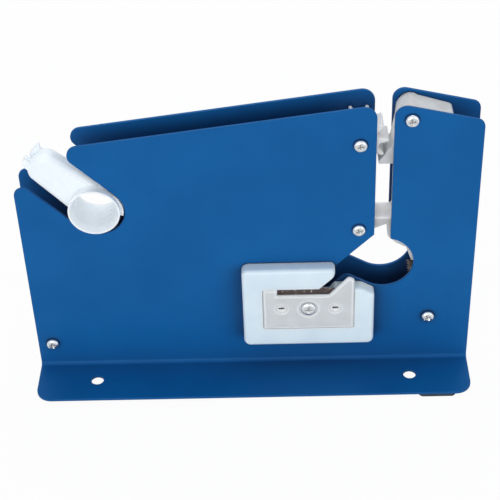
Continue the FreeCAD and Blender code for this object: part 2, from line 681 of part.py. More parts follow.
# ---------------------------------------------------------------- trimmer
TRIMMER_FACE_Y = -(OUTER_Y + TRIMMER_THICK)
COVER_BACK_Y = TRIMMER_FACE_Y - COVER_PROUD + COVER_THICK
POCKET_FLOOR_Y = COVER_BACK_Y + BLADE_THICK


def mouth_lip_x(z):
    """X of the mouth's lower, sloping side at height z."""
    return MOUTH_FOOT_X + (z - MOUTH_FOOT_Z) / math.tan(math.radians(MOUTH_SLOPE))


def trimmer_hole_points():
    return [(TRIMMER_SCREW_X + side * TRIMMER_HOLE_SPACING, TRIMMER_SCREW_Z) for side in (-1, 1)]


def soft_block(corners):
    """Block as thick as the trimmer, with its whole front rim rounded."""
    block = side_prism(corners, TRIMMER_FACE_Y, -OUTER_Y)
    rim = [edge for edge in block.Edges if abs(edge.BoundBox.YMax - TRIMMER_FACE_Y) < 1e-4]
    return block.makeFillet(TRIMMER_EDGE_RADIUS, rim)


def build_trimmer_body():
    """C-shaped moulded block: jaw above, anvil at the right, and a pocket for blade and cover."""
    jaw_left = JAW_UNDERSIDE - JAW_RUN
    lower = soft_block([
        (TRIMMER_LEFT, TRIMMER_BOTTOM, TRIMMER_CORNER),
        (TRIMMER_RIGHT, TRIMMER_BOTTOM, TRIMMER_CORNER),
        (TRIMMER_RIGHT, ANVIL_SHOULDER, ANVIL_SHOULDER_ROUND),
        (ANVIL_CREST, ANVIL_TOP, ANVIL_ROUND),
        (TRIMMER_LEFT, ANVIL_TOP, TRIMMER_CORNER),
    ])
    upper = soft_block([
        (TRIMMER_LEFT, TRIMMER_BOTTOM, TRIMMER_CORNER),
        (JAW_RIGHT, TRIMMER_BOTTOM, TRIMMER_CORNER),
        (JAW_RIGHT, TRIMMER_TOP, JAW_CORNER),
        (TRIMMER_LEFT, TRIMMER_TOP, TRIMMER_CORNER),
    ])
    mouth = side_prism([
        (jaw_left, MOUTH_FOOT_Z, 0),
        (jaw_left, JAW_UNDERSIDE, 0),
        (JAW_RIGHT, JAW_RIGHT + JAW_RUN, JAW_ROUND),
        (JAW_RIGHT, 2 * TRIMMER_TOP, 0),
        (mouth_lip_x(2 * TRIMMER_TOP), 2 * TRIMMER_TOP, 0),
        (MOUTH_FOOT_X, MOUTH_FOOT_Z, 0),
    ], -THROUGH, 0)
    pocket = side_prism([
        (POCKET_LEFT, POCKET_BOTTOM, POCKET_CORNER),
        (POCKET_RIGHT, POCKET_BOTTOM, POCKET_CORNER),
        (POCKET_RIGHT, JAW_UNDERSIDE, 0),
        (POCKET_LEFT, JAW_UNDERSIDE, POCKET_CORNER),
    ], TRIMMER_FACE_Y - COVER_PROUD, POCKET_FLOOR_Y)
    body = lower.fuse(upper).removeSplitter()
    body = body.cut(mouth).cut(pocket).cut(trimmer_bolt_hole())
    for x, z in trimmer_hole_points():
        body = body.cut(round_y(x, z, TRIMMER_HOLE_RADIUS, TRIMMER_FACE_Y, -OUTER_Y))
    return body.removeSplitter()


def cover_outline():
    """Side view of the cover, with the window that shows the blade and the lip beside the mouth."""
    return [
        (POCKET_LEFT + COVER_GAP, POCKET_BOTTOM + COVER_GAP, POCKET_CORNER),
        (POCKET_RIGHT - COVER_GAP, POCKET_BOTTOM + COVER_GAP, POCKET_CORNER),
        (POCKET_RIGHT - COVER_GAP, COVER_LIP_TOP - COVER_LIP_FALL, 1.2),
        (mouth_lip_x(COVER_LIP_TOP), COVER_LIP_TOP, 1.2),
        (MOUTH_FOOT_X, MOUTH_FOOT_Z, 1.0),
        (WINDOW_LEFT, MOUTH_FOOT_Z, 0),
        (WINDOW_LEFT, JAW_UNDERSIDE - COVER_GAP, 0),
        (POCKET_LEFT + COVER_GAP, JAW_UNDERSIDE - COVER_GAP, POCKET_CORNER),
    ]


def build_trimmer_cover():
    """Clear plastic cover that clamps the blade."""
    face_y = TRIMMER_FACE_Y - COVER_PROUD
    cover = side_prism(cover_outline(), face_y, COVER_BACK_Y)
    rim = [edge for edge in cover.Edges
           if abs(edge.BoundBox.YMax - face_y) < 1e-4]
    cover = cover.makeChamfer(COVER_BEVEL, rim)
    bore = TRIMMER_SCREW_RADIUS + SCREW_HOLE_PLAY
    cover = cover.cut(round_y(TRIMMER_SCREW_X, TRIMMER_SCREW_Z, bore, face_y, COVER_BACK_Y))
    cover = cover.cut(round_y(TRIMMER_SCREW_X, TRIMMER_SCREW_Z, TRIMMER_COUNTERBORE,
                              face_y, face_y + TRIMMER_COUNTERBORE_DEPTH))
    sink_depth = COVER_THICK * 0.8
    for x, z in trimmer_hole_points():
        cover = cover.cut(round_y(x, z, TRIMMER_HOLE_RADIUS, face_y, COVER_BACK_Y))
        cover = cover.cut(Part.makeCone(TRIMMER_SINK_RADIUS, TRIMMER_HOLE_RADIUS, sink_depth,
                                        vec(x, face_y, z), vec(0, 1, 0)))
    return cover.removeSplitter()


def build_trimmer_blade():
    """Steel strip under the cover, with a wavy cutting edge that crosses the mouth."""
    left = POCKET_LEFT + BLADE_MARGIN
    bottom = POCKET_BOTTOM + BLADE_MARGIN
    top = JAW_UNDERSIDE - BLADE_TOP_GAP
    corners = [(left, bottom, 0.6), (BLADE_RIGHT, bottom, 0.6), (BLADE_RIGHT, top, 0)]
    x = BLADE_RIGHT - BLADE_PITCH / 2
    while x > left + BLADE_PITCH:
        corners.append((x, top - BLADE_TOOTH_DEPTH, BLADE_PITCH / 3))
        corners.append((x - BLADE_PITCH / 2, top, 0))
        x -= BLADE_PITCH
    corners.append((left, top, 0))
    blade = side_prism(corners, COVER_BACK_Y, POCKET_FLOOR_Y)
    blade = blade.cut(trimmer_bolt_hole())
    for hole_x, hole_z in trimmer_hole_points():
        blade = blade.cut(round_y(hole_x, hole_z, TRIMMER_HOLE_RADIUS, COVER_BACK_Y, POCKET_FLOOR_Y))
    return blade


def trimmer_head_seat():
    return TRIMMER_FACE_Y - COVER_PROUD + TRIMMER_COUNTERBORE_DEPTH


def build_trimmer_screw():
    """The one screw that holds cover, blade and body on the front plate."""
    seat_y = trimmer_head_seat()
    length = -INNER_Y + NUT_HEIGHT + NUT_STICKOUT - seat_y
    return machine_screw(TRIMMER_SCREW_X, TRIMMER_SCREW_Z, seat_y, TRIMMER_SCREW_RADIUS, length,
                         TRIMMER_HEAD_RADIUS, TRIMMER_HEAD_HEIGHT)


def build_trimmer_nut():
    """Hexagon nut against the inside of the front plate."""
    corner_radius = NUT_FLATS / 2 / math.cos(math.radians(30))
    corners = [with_radius(polar(TRIMMER_SCREW_X, TRIMMER_SCREW_Z, corner_radius, 60 * i), 0)
               for i in range(6)]
    nut = side_prism(corners, -INNER_Y, NUT_HEIGHT - INNER_Y)
    return nut.cut(round_y(TRIMMER_SCREW_X, TRIMMER_SCREW_Z, TRIMMER_SCREW_RADIUS + SCREW_FIT,
                           -INNER_Y, NUT_HEIGHT - INNER_Y))


# ---------------------------------------------------------------- tape hub
def hub_point(out, side):
    """A point of the hub in the side view, measured from the barrel's centre along the slot."""
    return slot_point(out + HUB_SEAT, side)


def build_tape_hub():
    """One moulding: barrel across both plates, arm up the slot, and fingers on the arm's end."""
    barrel_radius = SLOT_WIDTH / 2 - HUB_CLEARANCE
    barrel_y = OUTER_Y + HUB_PROUD
    centre = hub_point(0, 0)
    barrel = round_y(centre[0], centre[1], barrel_radius, -barrel_y, barrel_y)
    front_y = HUB_ARM_GAP - INNER_Y
    back_y = front_y + HUB_ARM_THICK
    arm = side_prism([
        with_radius(hub_point(0, -HUB_ARM_BELOW), 0),
        with_radius(hub_point(0, HUB_ARM_ABOVE), 0),
        with_radius(hub_point(HUB_ARM_REACH, HUB_END_ABOVE), HUB_ARM_END_RADIUS),
        with_radius(hub_point(HUB_ARM_REACH, -HUB_END_BELOW), HUB_ARM_END_RADIUS),
    ], front_y, back_y)
    lower = [e for e in arm.Edges if is_long_run(e) and under_slot_axis(e)]
    arm = arm.makeFillet(HUB_ARM_EDGE, lower)
    heel_centre = slot_point(0, 0)
    heel = Part.makeCylinder(barrel_radius, 2 * OUTER_Y, lift_xz(heel_centre, -OUTER_Y), vec(0, 1, 0),
                             HUB_HEEL_END - HUB_HEEL_START)
    heel.rotate(lift_xz(heel_centre), vec(0, 1, 0), heel_turn(heel, heel_centre))
    hub = barrel.fuse([arm, heel] + hub_fingers(front_y, back_y))
    hub = hub.cut(round_y(centre[0], centre[1], HUB_BORE, -barrel_y, barrel_y))
    flare = Part.makeCone(HUB_MOUTH, HUB_BORE, HUB_FLARE, vec(centre[0], -barrel_y, centre[1]), vec(0, 1, 0))
    return hub.cut(flare).cut(mirror_y(flare)).removeSplitter()


def heel_turn(heel, centre):
    """Degrees about +Y that bring the heel's sector to its place above the barrel."""
    middle = heel.CenterOfMass
    now = math.degrees(math.atan2(middle.z - centre[1], middle.x - centre[0]))
    return now - (HUB_HEEL_START + HUB_HEEL_END) / 2


def is_long_run(edge):
    """True for the arm's two long edges on each side, and not for its ends or corners."""
    start, end = (vertex.Point for vertex in edge.Vertexes)
    return abs(end.y - start.y) < 1e-6 and (end - start).Length > HUB_ARM_REACH / 2


def under_slot_axis(edge):
    middle = edge.BoundBox.Center
    return middle.x + middle.z < sum(slot_point(0, 0))


def hub_fingers(front_y, back_y):
    """On the arm's end: two blunt fingers side by side at the front, and a barbed one at the back."""
    root = HUB_ARM_REACH - 2 * HUB_FINGER_LENGTH
    tip = HUB_ARM_REACH + HUB_FINGER_LENGTH
    half = HUB_FINGER_SIZE / 2
    blunt = [
        with_radius(hub_point(root, HUB_FINGER_SIDE - half), 0),
        with_radius(hub_point(root, HUB_FINGER_SIDE + half), 0),
        with_radius(hub_point(tip, HUB_FINGER_SIDE + half), half * 0.8),
        with_radius(hub_point(tip, HUB_FINGER_SIDE - half), half * 0.8),
    ]
    barbed = [
        with_radius(hub_point(root, HUB_BARB_FOOT), 0),
        with_radius(hub_point(root, HUB_BARB_NECK), 0),
        with_radius(hub_point(HUB_ARM_REACH, HUB_BARB_NECK), 0),
        with_radius(hub_point(HUB_ARM_REACH + HUB_BARB_REACH, HUB_BARB_TIP), 0.3),
        with_radius(hub_point(tip - half, HUB_BARB_TIP - half), 0.4),
        with_radius(hub_point(HUB_ARM_REACH + HUB_BARB_REACH, HUB_BARB_FOOT), half * 0.8),
    ]
    second_y = front_y + HUB_FINGER_SIZE + HUB_FINGER_GAP
    return [
        side_prism(blunt, front_y, front_y + HUB_FINGER_SIZE),
        side_prism(blunt, second_y, second_y + HUB_FINGER_SIZE),
        side_prism(barbed, back_y - HUB_FINGER_SIZE, back_y),
    ]


# ---------------------------------------------------------------- foot pads
def build_foot_pads():
    """Four thin rubber pads under the ends of the flanges."""
    pads = []
    for side_x in (-1, 1):
        for side_y in (FRONT, REAR):
            x_out = side_x * (HALF_LENGTH - PAD_FROM_END)
            x_in = x_out - side_x * PAD_LENGTH
            at_edge = side_x > 0 and side_y == FRONT
            inset = EDGE_PAD_FROM_EDGE if at_edge else PAD_FROM_EDGE
            y_out = side_y * (FLANGE_EDGE_Y - inset)
            y_in = y_out - side_y * PAD_WIDTH
            pads.append(plan_prism([
                (x_out, y_out, PAD_CORNER), (x_in, y_out, PAD_CORNER),
                (x_in, y_in, PAD_CORNER), (x_out, y_in, PAD_CORNER)], 0, PAD_THICK))
    return Part.makeCompound(pads)


# ---------------------------------------------------------------- all nodes
def build_all():
    plate = build_front_plate()
    screws = build_front_screws()
    nodes = {
        "front_plate": plate.cut(trimmer_bolt_hole()),
        "rear_plate": mirror_y(plate),
        "front_screws": screws,
        "rear_screws": mirror_y(screws),
        "tape_guide": ring_y(GUIDE_X, GUIDE_Z, GUIDE_RADIUS, SPACER_RADIUS + RUNNING_FIT,
                             SIDE_PLAY - INNER_Y, INNER_Y - SIDE_PLAY),
        "star_wheel": build_star_wheel(),
        "wheel_washers": side_washers(WHEEL_X, WHEEL_Z, WHEEL_WASHER_RADIUS, WHEEL_WIDTH),
        "press_lever": build_press_lever(),
        "lever_washers": side_washers(PIVOT_X, PIVOT_Z, LEVER_WASHER_RADIUS, LEVER_WIDTH),
        "lever_spring": build_lever_spring(),
        "knife_block": build_knife_block(),
        "tape_knife": build_tape_knife(),
        "knife_screw": build_knife_screw(),
        "trimmer_body": build_trimmer_body(),
        "trimmer_blade": build_trimmer_blade(),
        "trimmer_cover": build_trimmer_cover(),
        "trimmer_screw": build_trimmer_screw(),
        "trimmer_nut": build_trimmer_nut(),
        "tape_hub": build_tape_hub(),
        "foot_pads": build_foot_pads(),
    }
    for name in AXLES:
        nodes[name] = build_spacer(name)
    return nodes


def main():
    os.makedirs("parts", exist_ok=True)
    for name, shape in build_all().items():
        shape.exportStep("parts/" + name + ".step")
        box = shape.BoundBox
        print(f"{name}: {len(shape.Solids)} solids, valid {shape.isValid()}, "
              f"{box.XLength:.1f} x {box.YLength:.1f} x {box.ZLength:.1f} mm")


main()
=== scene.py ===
import json
import logging
import math
from contextlib import contextmanager
from dataclasses import dataclass
from enum import Enum
from typing import Iterable, Iterator, Sequence

import bmesh
import bpy
from mathutils import Matrix, Vector


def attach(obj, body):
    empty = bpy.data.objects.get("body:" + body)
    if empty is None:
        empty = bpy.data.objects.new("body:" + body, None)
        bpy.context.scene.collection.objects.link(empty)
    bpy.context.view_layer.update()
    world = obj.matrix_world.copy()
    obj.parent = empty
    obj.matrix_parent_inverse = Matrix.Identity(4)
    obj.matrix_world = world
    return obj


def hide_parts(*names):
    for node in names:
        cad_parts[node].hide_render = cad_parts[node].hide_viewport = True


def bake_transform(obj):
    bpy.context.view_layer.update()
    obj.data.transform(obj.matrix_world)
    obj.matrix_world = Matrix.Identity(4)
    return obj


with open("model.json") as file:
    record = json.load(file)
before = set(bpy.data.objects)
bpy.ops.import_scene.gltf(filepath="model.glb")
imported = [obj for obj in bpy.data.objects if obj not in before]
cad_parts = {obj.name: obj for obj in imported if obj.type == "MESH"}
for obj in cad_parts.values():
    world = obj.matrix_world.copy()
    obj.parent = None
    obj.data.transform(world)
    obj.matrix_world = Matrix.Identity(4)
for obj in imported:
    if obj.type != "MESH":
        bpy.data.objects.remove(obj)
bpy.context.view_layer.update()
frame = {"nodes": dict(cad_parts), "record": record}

# Bag neck sealer: two folded sheet plates on spacers, a star wheel and a sprung lever that press tape round
# a bag's neck, a knife that cuts the tape, a trimmer on the front plate and a sliding hub for the roll.
# Sizes are in millimetres, +X towards the neck slot, +Z up, -Y the front; finished meshes are in metres.

log = logging.getLogger("bag_neck_sealer")
MM = 0.001
DIAGONAL = math.sqrt(0.5)
QUARTER = math.pi / 2
ARC_STEP = 7.5                      # degrees between the points of a drawn arc
DOUBLES = 1e-4                      # points closer than this are one
WELD = 5e-4                         # the same after a bevel or a boolean
PACKED_WELD = 2e-3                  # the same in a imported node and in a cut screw
FLAT = math.radians(0.6)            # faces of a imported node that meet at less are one
CREASE = math.radians(42.0)         # sharper edges are shaded sharp
NORMAL_WEIGHT = 100                 # how far large faces bend the normals of small ones
AO_SAMPLES = 8
BEVEL_SAMPLES = 6
WHITE = (1.0, 1.0, 1.0, 1.0)
RECESS = "recess"                   # mesh attribute that marks the inside of a screw's recess

Mesh = bpy.types.Mesh
Socket = bpy.types.NodeSocket
Point = tuple[float, float]
Corner = tuple[float, float, float]
Place = tuple[float, float, float]
Loop = list[Point]


class Body(Enum):
    """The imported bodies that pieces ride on."""
    FRAME = "frame"
    WHEEL = "wheel"
    LEVER = "lever"
    HUB = "hub"


class Slot(Enum):
    """The record's material slots."""
    BLUE_PAINT = "blue_paint"
    ZINC = "zinc_steel"
    SPRING = "spring_steel"
    BLADE = "blade_steel"
    NYLON = "white_nylon"
    MILKY = "milky_plastic"
    TRIMMER = "trimmer_plastic"
    COVER = "cover_plastic"
    HUB = "hub_plastic"
    RUBBER = "pad_rubber"


class Facing(Enum):
    """Which way a fastener's head points, as a turn about Z in radians."""
    FRONT = 0.0
    REAR = math.pi


# ---------------------------------------------------------------- node wiring
@dataclass
class Wiring:
    """Adds nodes to one node tree and joins them."""
    tree: bpy.types.NodeTree

    def add(self, kind: str, values: dict | None = None, **settings: object) -> bpy.types.Node:
        """Adds one node.

        Args:
            kind: the node's type name.
            values: for each input, by name or number, a constant or the output that feeds it.
            settings: the node's own properties.

        Returns:
            The new node.
        """
        node = self.tree.nodes.new(kind)
        for name, value in settings.items():
            setattr(node, name, value)
        for key, value in (values or {}).items():
            if isinstance(value, Socket):
                self.tree.links.new(value, node.inputs[key])
            else:
                node.inputs[key].default_value = value
        return node

    def group(self, tree: bpy.types.NodeTree, values: dict) -> bpy.types.bpy_prop_collection:
        """Adds a shader group and returns its outputs."""
        return self.add("ShaderNodeGroup", values, node_tree=tree).outputs

    def math(self, operation: str, *values: object) -> Socket:
        """Adds a Math node and returns its output."""
        return self.add("ShaderNodeMath", dict(enumerate(values)), operation=operation).outputs[0]

    def clamp(self, value: Socket) -> Socket:
        """Adds a Clamp node and returns its output."""
        return self.add("ShaderNodeClamp", {"Value": value}).outputs[0]

    def ramp(self, value: Socket, low: float, high: float, bottom: float = 0.0, top: float = 1.0,
             **settings: object) -> Socket:
        """Adds a Map Range node, from bottom at low to top at high, and returns its output."""
        ends = {"Value": value, "From Min": low, "From Max": high, "To Min": bottom, "To Max": top}
        return self.add("ShaderNodeMapRange", ends, **settings).outputs["Result"]

    def blend(self, share: object, under: object, over: object) -> Socket:
        """Adds a colour Mix node and returns its output."""
        return self.add("ShaderNodeMix", {"Factor": share, 6: under, 7: over}, data_type="RGBA").outputs[2]

    def noise(self, place: Socket, scale: object, detail: float = 2.0, roughness: float = 0.5) -> Socket:
        """Adds a Noise Texture node and returns its factor."""
        values = {"Vector": place, "Scale": scale, "Detail": detail, "Roughness": roughness}
        return self.add("ShaderNodeTexNoise", values).outputs["Fac"]

    def hidden(self, distance: object) -> Socket:
        """Adds an Ambient Occlusion node and returns how much it finds covered."""
        near = self.add("ShaderNodeAmbientOcclusion", {"Distance": distance}, samples=AO_SAMPLES)
        return self.math("SUBTRACT", 1.0, near.outputs["AO"])

    def band(self, place: Socket, low: Point, high: Point) -> Socket:
        """A mask that is 1 between two heights and fades over these ranges, in millimetres.

        Args:
            place: position on the object.
            low: where it fades in from below.
            high: where it fades out upwards.

        Returns:
            The mask.
        """
        height = self.add("ShaderNodeSeparateXYZ", {"Vector": place}).outputs["Z"]
        above = self.ramp(height, low[0] * MM, low[1] * MM)
        return self.math("MULTIPLY", above, self.ramp(height, high[1] * MM, high[0] * MM))


def wired(owner: bpy.types.Material | bpy.types.World) -> Wiring:
    """Empties the node tree of a material or world and returns its wiring.

    Args:
        owner: the material or world.

    Returns:
        The wiring of its empty tree.
    """
    owner.use_nodes = True
    owner.node_tree.nodes.clear()
    return Wiring(owner.node_tree)


def new_group(name: str, kind: str, inputs: dict[str, object],
              outputs: dict[str, str]) -> tuple[Wiring, bpy.types.bpy_prop_collection]:
    """Makes a node group with named sockets.

    Args:
        name: the group's name.
        kind: ShaderNodeTree or GeometryNodeTree.
        inputs: for each input its default, or the type of its socket where it has none.
        outputs: for each output the type of its socket.

    Returns:
        The group's wiring, and the outputs of its input node.
    """
    wire = Wiring(bpy.data.node_groups.new(name, kind))
    types = {float: "Float", int: "Int", tuple: "Vector"}
    for label, default in inputs.items():
        bare = isinstance(default, str)
        socket_type = default if bare else types[type(default)]
        socket = wire.tree.interface.new_socket(
            name=label, in_out="INPUT", socket_type="NodeSocket" + socket_type)
        if not bare:
            socket.default_value = default
    for label, socket_type in outputs.items():
        wire.tree.interface.new_socket(name=label, in_out="OUTPUT", socket_type="NodeSocket" + socket_type)
    return wire, wire.add("NodeGroupInput").outputs


# ---------------------------------------------------------------- finishes
class SurfaceGroups:
    """Shader groups that every finish shares: uneven tone, grain, edges and the painted shade and light of
    close contact.
    """
    TONE_RANGE = (0.32, 0.68)
    TONE_DETAIL = 4.0
    TONE_ROUGHNESS = 0.55
    GRAIN_DETAIL = 3.0
    CELLS_PER_GRAIN = 1.7
    BREAKUP_SCALE = 180.0
    BREAKUP_LEAST = 0.35

    def __init__(self) -> None:
        """Builds the four groups once."""
        self.tone = self._tone()
        self.grain = self._grain()
        self.edge = self._edge()
        self.contact = self._contact()

    def _tone(self) -> bpy.types.NodeTree:
        """Returns the group of broad, faint patches.

        Returns:
            The group.
        """
        wire, inlet = new_group(
            "uneven_tone", "ShaderNodeTree",
            {"Vector": "Vector", "Patch Size": 0.03, "Base": "Color", "Patch": "Color"},
            {"Color": "Color", "Amount": "Float"})
        noise = wire.noise(inlet["Vector"], wire.math("DIVIDE", 1.0, inlet["Patch Size"]), self.TONE_DETAIL,
                           self.TONE_ROUGHNESS)
        amount = wire.ramp(noise, *self.TONE_RANGE, interpolation_type="SMOOTHSTEP")
        color = wire.blend(amount, inlet["Base"], inlet["Patch"])
        wire.add("NodeGroupOutput", {"Color": color, "Amount": amount})
        return wire.tree

    def _grain(self) -> bpy.types.NodeTree:
        """Returns the group of fine surface grain: rolling noise with small cells on it.

        Returns:
            The group.
        """
        wire, inlet = new_group(
            "fine_grain", "ShaderNodeTree",
            {"Vector": "Vector", "Grain Size": 0.0005, "Stretch": (1.0, 1.0, 1.0), "Cell Share": 0.3},
            {"Height": "Float"})
        scale = wire.math("DIVIDE", 1.0, inlet["Grain Size"])
        stretched = wire.add("ShaderNodeVectorMath", {0: inlet["Vector"], 1: inlet["Stretch"]},
                             operation="MULTIPLY").outputs[0]
        cells = wire.add("ShaderNodeTexVoronoi", {
            "Vector": stretched, "Scale": wire.math("MULTIPLY", scale, self.CELLS_PER_GRAIN)})
        mix = wire.add("ShaderNodeMix", {
            "Factor": inlet["Cell Share"], "A": wire.noise(stretched, scale, self.GRAIN_DETAIL),
            "B": cells.outputs["Distance"]})
        wire.add("NodeGroupOutput", {"Height": mix.outputs[0]})
        return wire.tree

    def _edge(self) -> bpy.types.NodeTree:
        """Returns the group that finds edges, where finishes lay wear and their edge colour: a painted
        highlight on most, a painted shade on the blue paint.

        Returns:
            The group.
        """
        wire, inlet = new_group("edge_catch", "ShaderNodeTree",
                                {"Vector": "Vector", "Radius": 0.0003, "Gain": 6.0}, {"Mask": "Float"})
        soft = wire.add("ShaderNodeBevel", {"Radius": inlet["Radius"]}, samples=BEVEL_SAMPLES).outputs[0]
        plain = wire.add("ShaderNodeNewGeometry").outputs["Normal"]
        dot = wire.add("ShaderNodeVectorMath", {0: soft, 1: plain}, operation="DOT_PRODUCT")
        bend = wire.math("MULTIPLY", wire.math("SUBTRACT", 1.0, dot.outputs["Value"]), inlet["Gain"])
        breakup = wire.math("ADD", wire.noise(inlet["Vector"], self.BREAKUP_SCALE), self.BREAKUP_LEAST)
        wire.add("NodeGroupOutput", {"Mask": wire.clamp(wire.math("MULTIPLY", bend, breakup))})
        return wire.tree

    def _contact(self) -> bpy.types.NodeTree:
        """Returns the group that masks the hollows and thin gaps where pieces touch, for the painted shade,
        and on pale finishes painted light, laid there.

        Returns:
            The group.
        """
        wire, inlet = new_group("contact_line", "ShaderNodeTree",
                                {"Distance": 0.001, "From": 0.0, "Gain": 2.0}, {"Mask": "Float"})
        past = wire.math("SUBTRACT", wire.hidden(inlet["Distance"]), inlet["From"])
        wire.add("NodeGroupOutput", {"Mask": wire.clamp(wire.math("MULTIPLY", past, inlet["Gain"]))})
        return wire.tree


def linear(hexa: str) -> tuple[float, float, float, float]:
    """A colour such as "1c5c99" as the linear RGBA of a shader socket.

    Args:
        hexa: red, green and blue as six hexadecimal digits.

    Returns:
        The linear colour with full alpha.
    """
    channels = [int(hexa[i:i + 2], 16) / 255 for i in (0, 2, 4)]
    light = [c / 12.92 if c <= 0.04045 else ((c + 0.055) / 1.055) ** 2.4 for c in channels]
    return (light[0], light[1], light[2], 1.0)


@dataclass(frozen=True)
class Finish:
    """A surface finish: tone, patches, edges, contact lines of painted shade and light, roughness and grain.
    """
    base: str
    patch: str
    edge: str
    rough: Point = (0.35, 0.45)
    grain_mm: float = 0.5
    grain_height_mm: float = 0.01
    cell_share: float = 0.3
    stretch: Place = (1.0, 1.0, 1.0)
    patch_mm: float = 25.0
    edge_mm: float = 0.3
    edge_gain: float = 4.0
    edge_rough: float = 0.0
    # contact colour: painted shade in hollows and thin gaps where pieces touch; a pale one paints light there
    contact: str = "000000"
    contact_mm: float = 0.8
    contact_from: float = 0.0
    contact_gain: float = 0.0
    metallic: float = 0.0
    specular: float = 0.5
    subsurface: float = 0.0
    scatter_mm: float = 2.0
    scatter_tint: Place = (0.9, 1.0, 1.1)

    def build(self, name: str, groups: SurfaceGroups) -> bpy.types.Material:
        """Makes the material.

        Args:
            name: the material's name.
            groups: the shared shader groups.

        Returns:
            The material.
        """
        material = bpy.data.materials.new(name)
        wire = wired(material)
        place = wire.add("ShaderNodeTexCoord").outputs["Object"]
        tone = wire.group(groups.tone, {"Vector": place, "Patch Size": self.patch_mm * MM,
                                        "Base": linear(self.base), "Patch": linear(self.patch)})
        edge = wire.group(groups.edge, {"Vector": place, "Radius": self.edge_mm * MM, "Gain": self.edge_gain})
        grain = wire.group(groups.grain, {"Vector": place, "Grain Size": self.grain_mm * MM,
                                          "Stretch": self.stretch, "Cell Share": self.cell_share})
        contact = wire.group(groups.contact, {"Distance": self.contact_mm * MM, "From": self.contact_from,
                                              "Gain": self.contact_gain})
        color = wire.blend(edge["Mask"], tone["Color"], linear(self.edge))
        color = wire.blend(contact["Mask"], color, linear(self.contact))
        smooth = wire.ramp(tone["Amount"], 0.0, 1.0, *self.rough)
        rough = wire.math("ADD", smooth, wire.math("MULTIPLY", edge["Mask"], self.edge_rough))
        bump = wire.add("ShaderNodeBump", {"Height": grain["Height"], "Strength": 1.0,
                                           "Distance": self.grain_height_mm * MM}).outputs["Normal"]
        shader = wire.add("ShaderNodeBsdfPrincipled", {
            "Base Color": self.color_over(wire, place, color), "Roughness": rough, "Normal": bump,
            "Metallic": self.metallic, "Specular IOR Level": self.specular,
            "Subsurface Weight": self.subsurface, "Subsurface Scale": self.scatter_mm * MM,
            "Subsurface Radius": self.scatter_tint})
        wire.add("ShaderNodeOutputMaterial", {"Surface": shader.outputs[0]})
        return material

    def color_over(self, wire: Wiring, place: Socket, color: Socket) -> Socket:
        """Returns the colour with whatever this finish lays over it: nothing here."""
        return color


@dataclass(frozen=True)
class SheetPaint(Finish):
    """Matt coat with painted shade where two sheets face each other and a painted shadow beside the block
    that stands on it.
    """
    # shade colours the painted shade between the sheets; the side fields make a painted shadow beside the
    # block
    shade: str = "2e140e"
    shade_mm: float = 28.0
    shade_power: float = 2.5
    shade_share: float = 0.85
    side_shadow: str = "10172b"
    side_mm: float = 12.0
    side_hidden: Point = (0.02, 0.21)
    side_share: float = 0.43
    side_low_mm: Point = (13.0, 17.0)
    side_high_mm: Point = (51.0, 56.0)

    def color_over(self, wire: Wiring, place: Socket, color: Socket) -> Socket:
        """Returns the colour with painted shade, darker the less open its surroundings are.

        Args:
            wire: the material's wiring.
            place: position on the object.
            color: the colour so far.

        Returns:
            The shaded colour.
        """
        # painted shade, deeper the more closed the surroundings are
        deep = wire.math("POWER", wire.hidden(self.shade_mm * MM), self.shade_power)
        color = wire.blend(wire.math("MULTIPLY", deep, self.shade_share), color, linear(self.shade))
        # painted shadow beside the block, only between its lower and upper heights
        beside = wire.ramp(wire.hidden(self.side_mm * MM), *self.side_hidden)
        share = wire.math("MULTIPLY", wire.band(place, self.side_low_mm, self.side_high_mm), self.side_share)
        return wire.blend(wire.math("MULTIPLY", beside, share), color, linear(self.side_shadow))


@dataclass(frozen=True)
class PaintedLightPlastic(Finish):
    """Milky moulding with painted light that makes it whiter over part of its height."""
    # thick colours the painted light, laid over the part of the lever that stands in shade between the plates
    thick: str = "f6f7f9"
    low_mm: Point = (73.2, 74.4)
    high_mm: Point = (86.0, 96.0)

    def color_over(self, wire: Wiring, place: Socket, color: Socket) -> Socket:
        """Returns the colour with painted light, whiter between the two heights."""
        return wire.blend(wire.band(place, self.low_mm, self.high_mm), color, linear(self.thick))


@dataclass(frozen=True)
class MottledSteel(Finish):
    """Dark steel with small bright specks, as hardened strip has."""
    speck: str = "a09a96"
    speck_mm: float = 0.9
    speck_range: Point = (0.62, 0.72)

    def color_over(self, wire: Wiring, place: Socket, color: Socket) -> Socket:
        """Returns the colour with sparse bright specks over it."""
        noise = wire.noise(place, 1 / (self.speck_mm * MM), 1.0)
        return wire.blend(wire.ramp(noise, *self.speck_range), color, linear(self.speck))


@dataclass(frozen=True)
class PlatedSteel(Finish):
    """Bright plated steel whose recesses hold old oil and dust."""
    oil: str = "877c6e"
    oil_mm: float = 0.35
    oil_least: float = 0.4
    oil_share: float = 0.8

    def color_over(self, wire: Wiring, place: Socket, color: Socket) -> Socket:
        """Returns the colour, darker where the mesh is marked as recess.

        Args:
            wire: the material's wiring.
            place: position on the object.
            color: the colour so far.

        Returns:
            The colour with oil in the recesses.
        """
        deep = wire.add("ShaderNodeAttribute", attribute_name=RECESS).outputs["Fac"]
        noise = wire.noise(place, 1 / (self.oil_mm * MM))
        patchy = wire.math("MULTIPLY", deep, wire.math("ADD", noise, self.oil_least))
        return wire.blend(wire.math("MULTIPLY", patchy, self.oil_share), color, linear(self.oil))
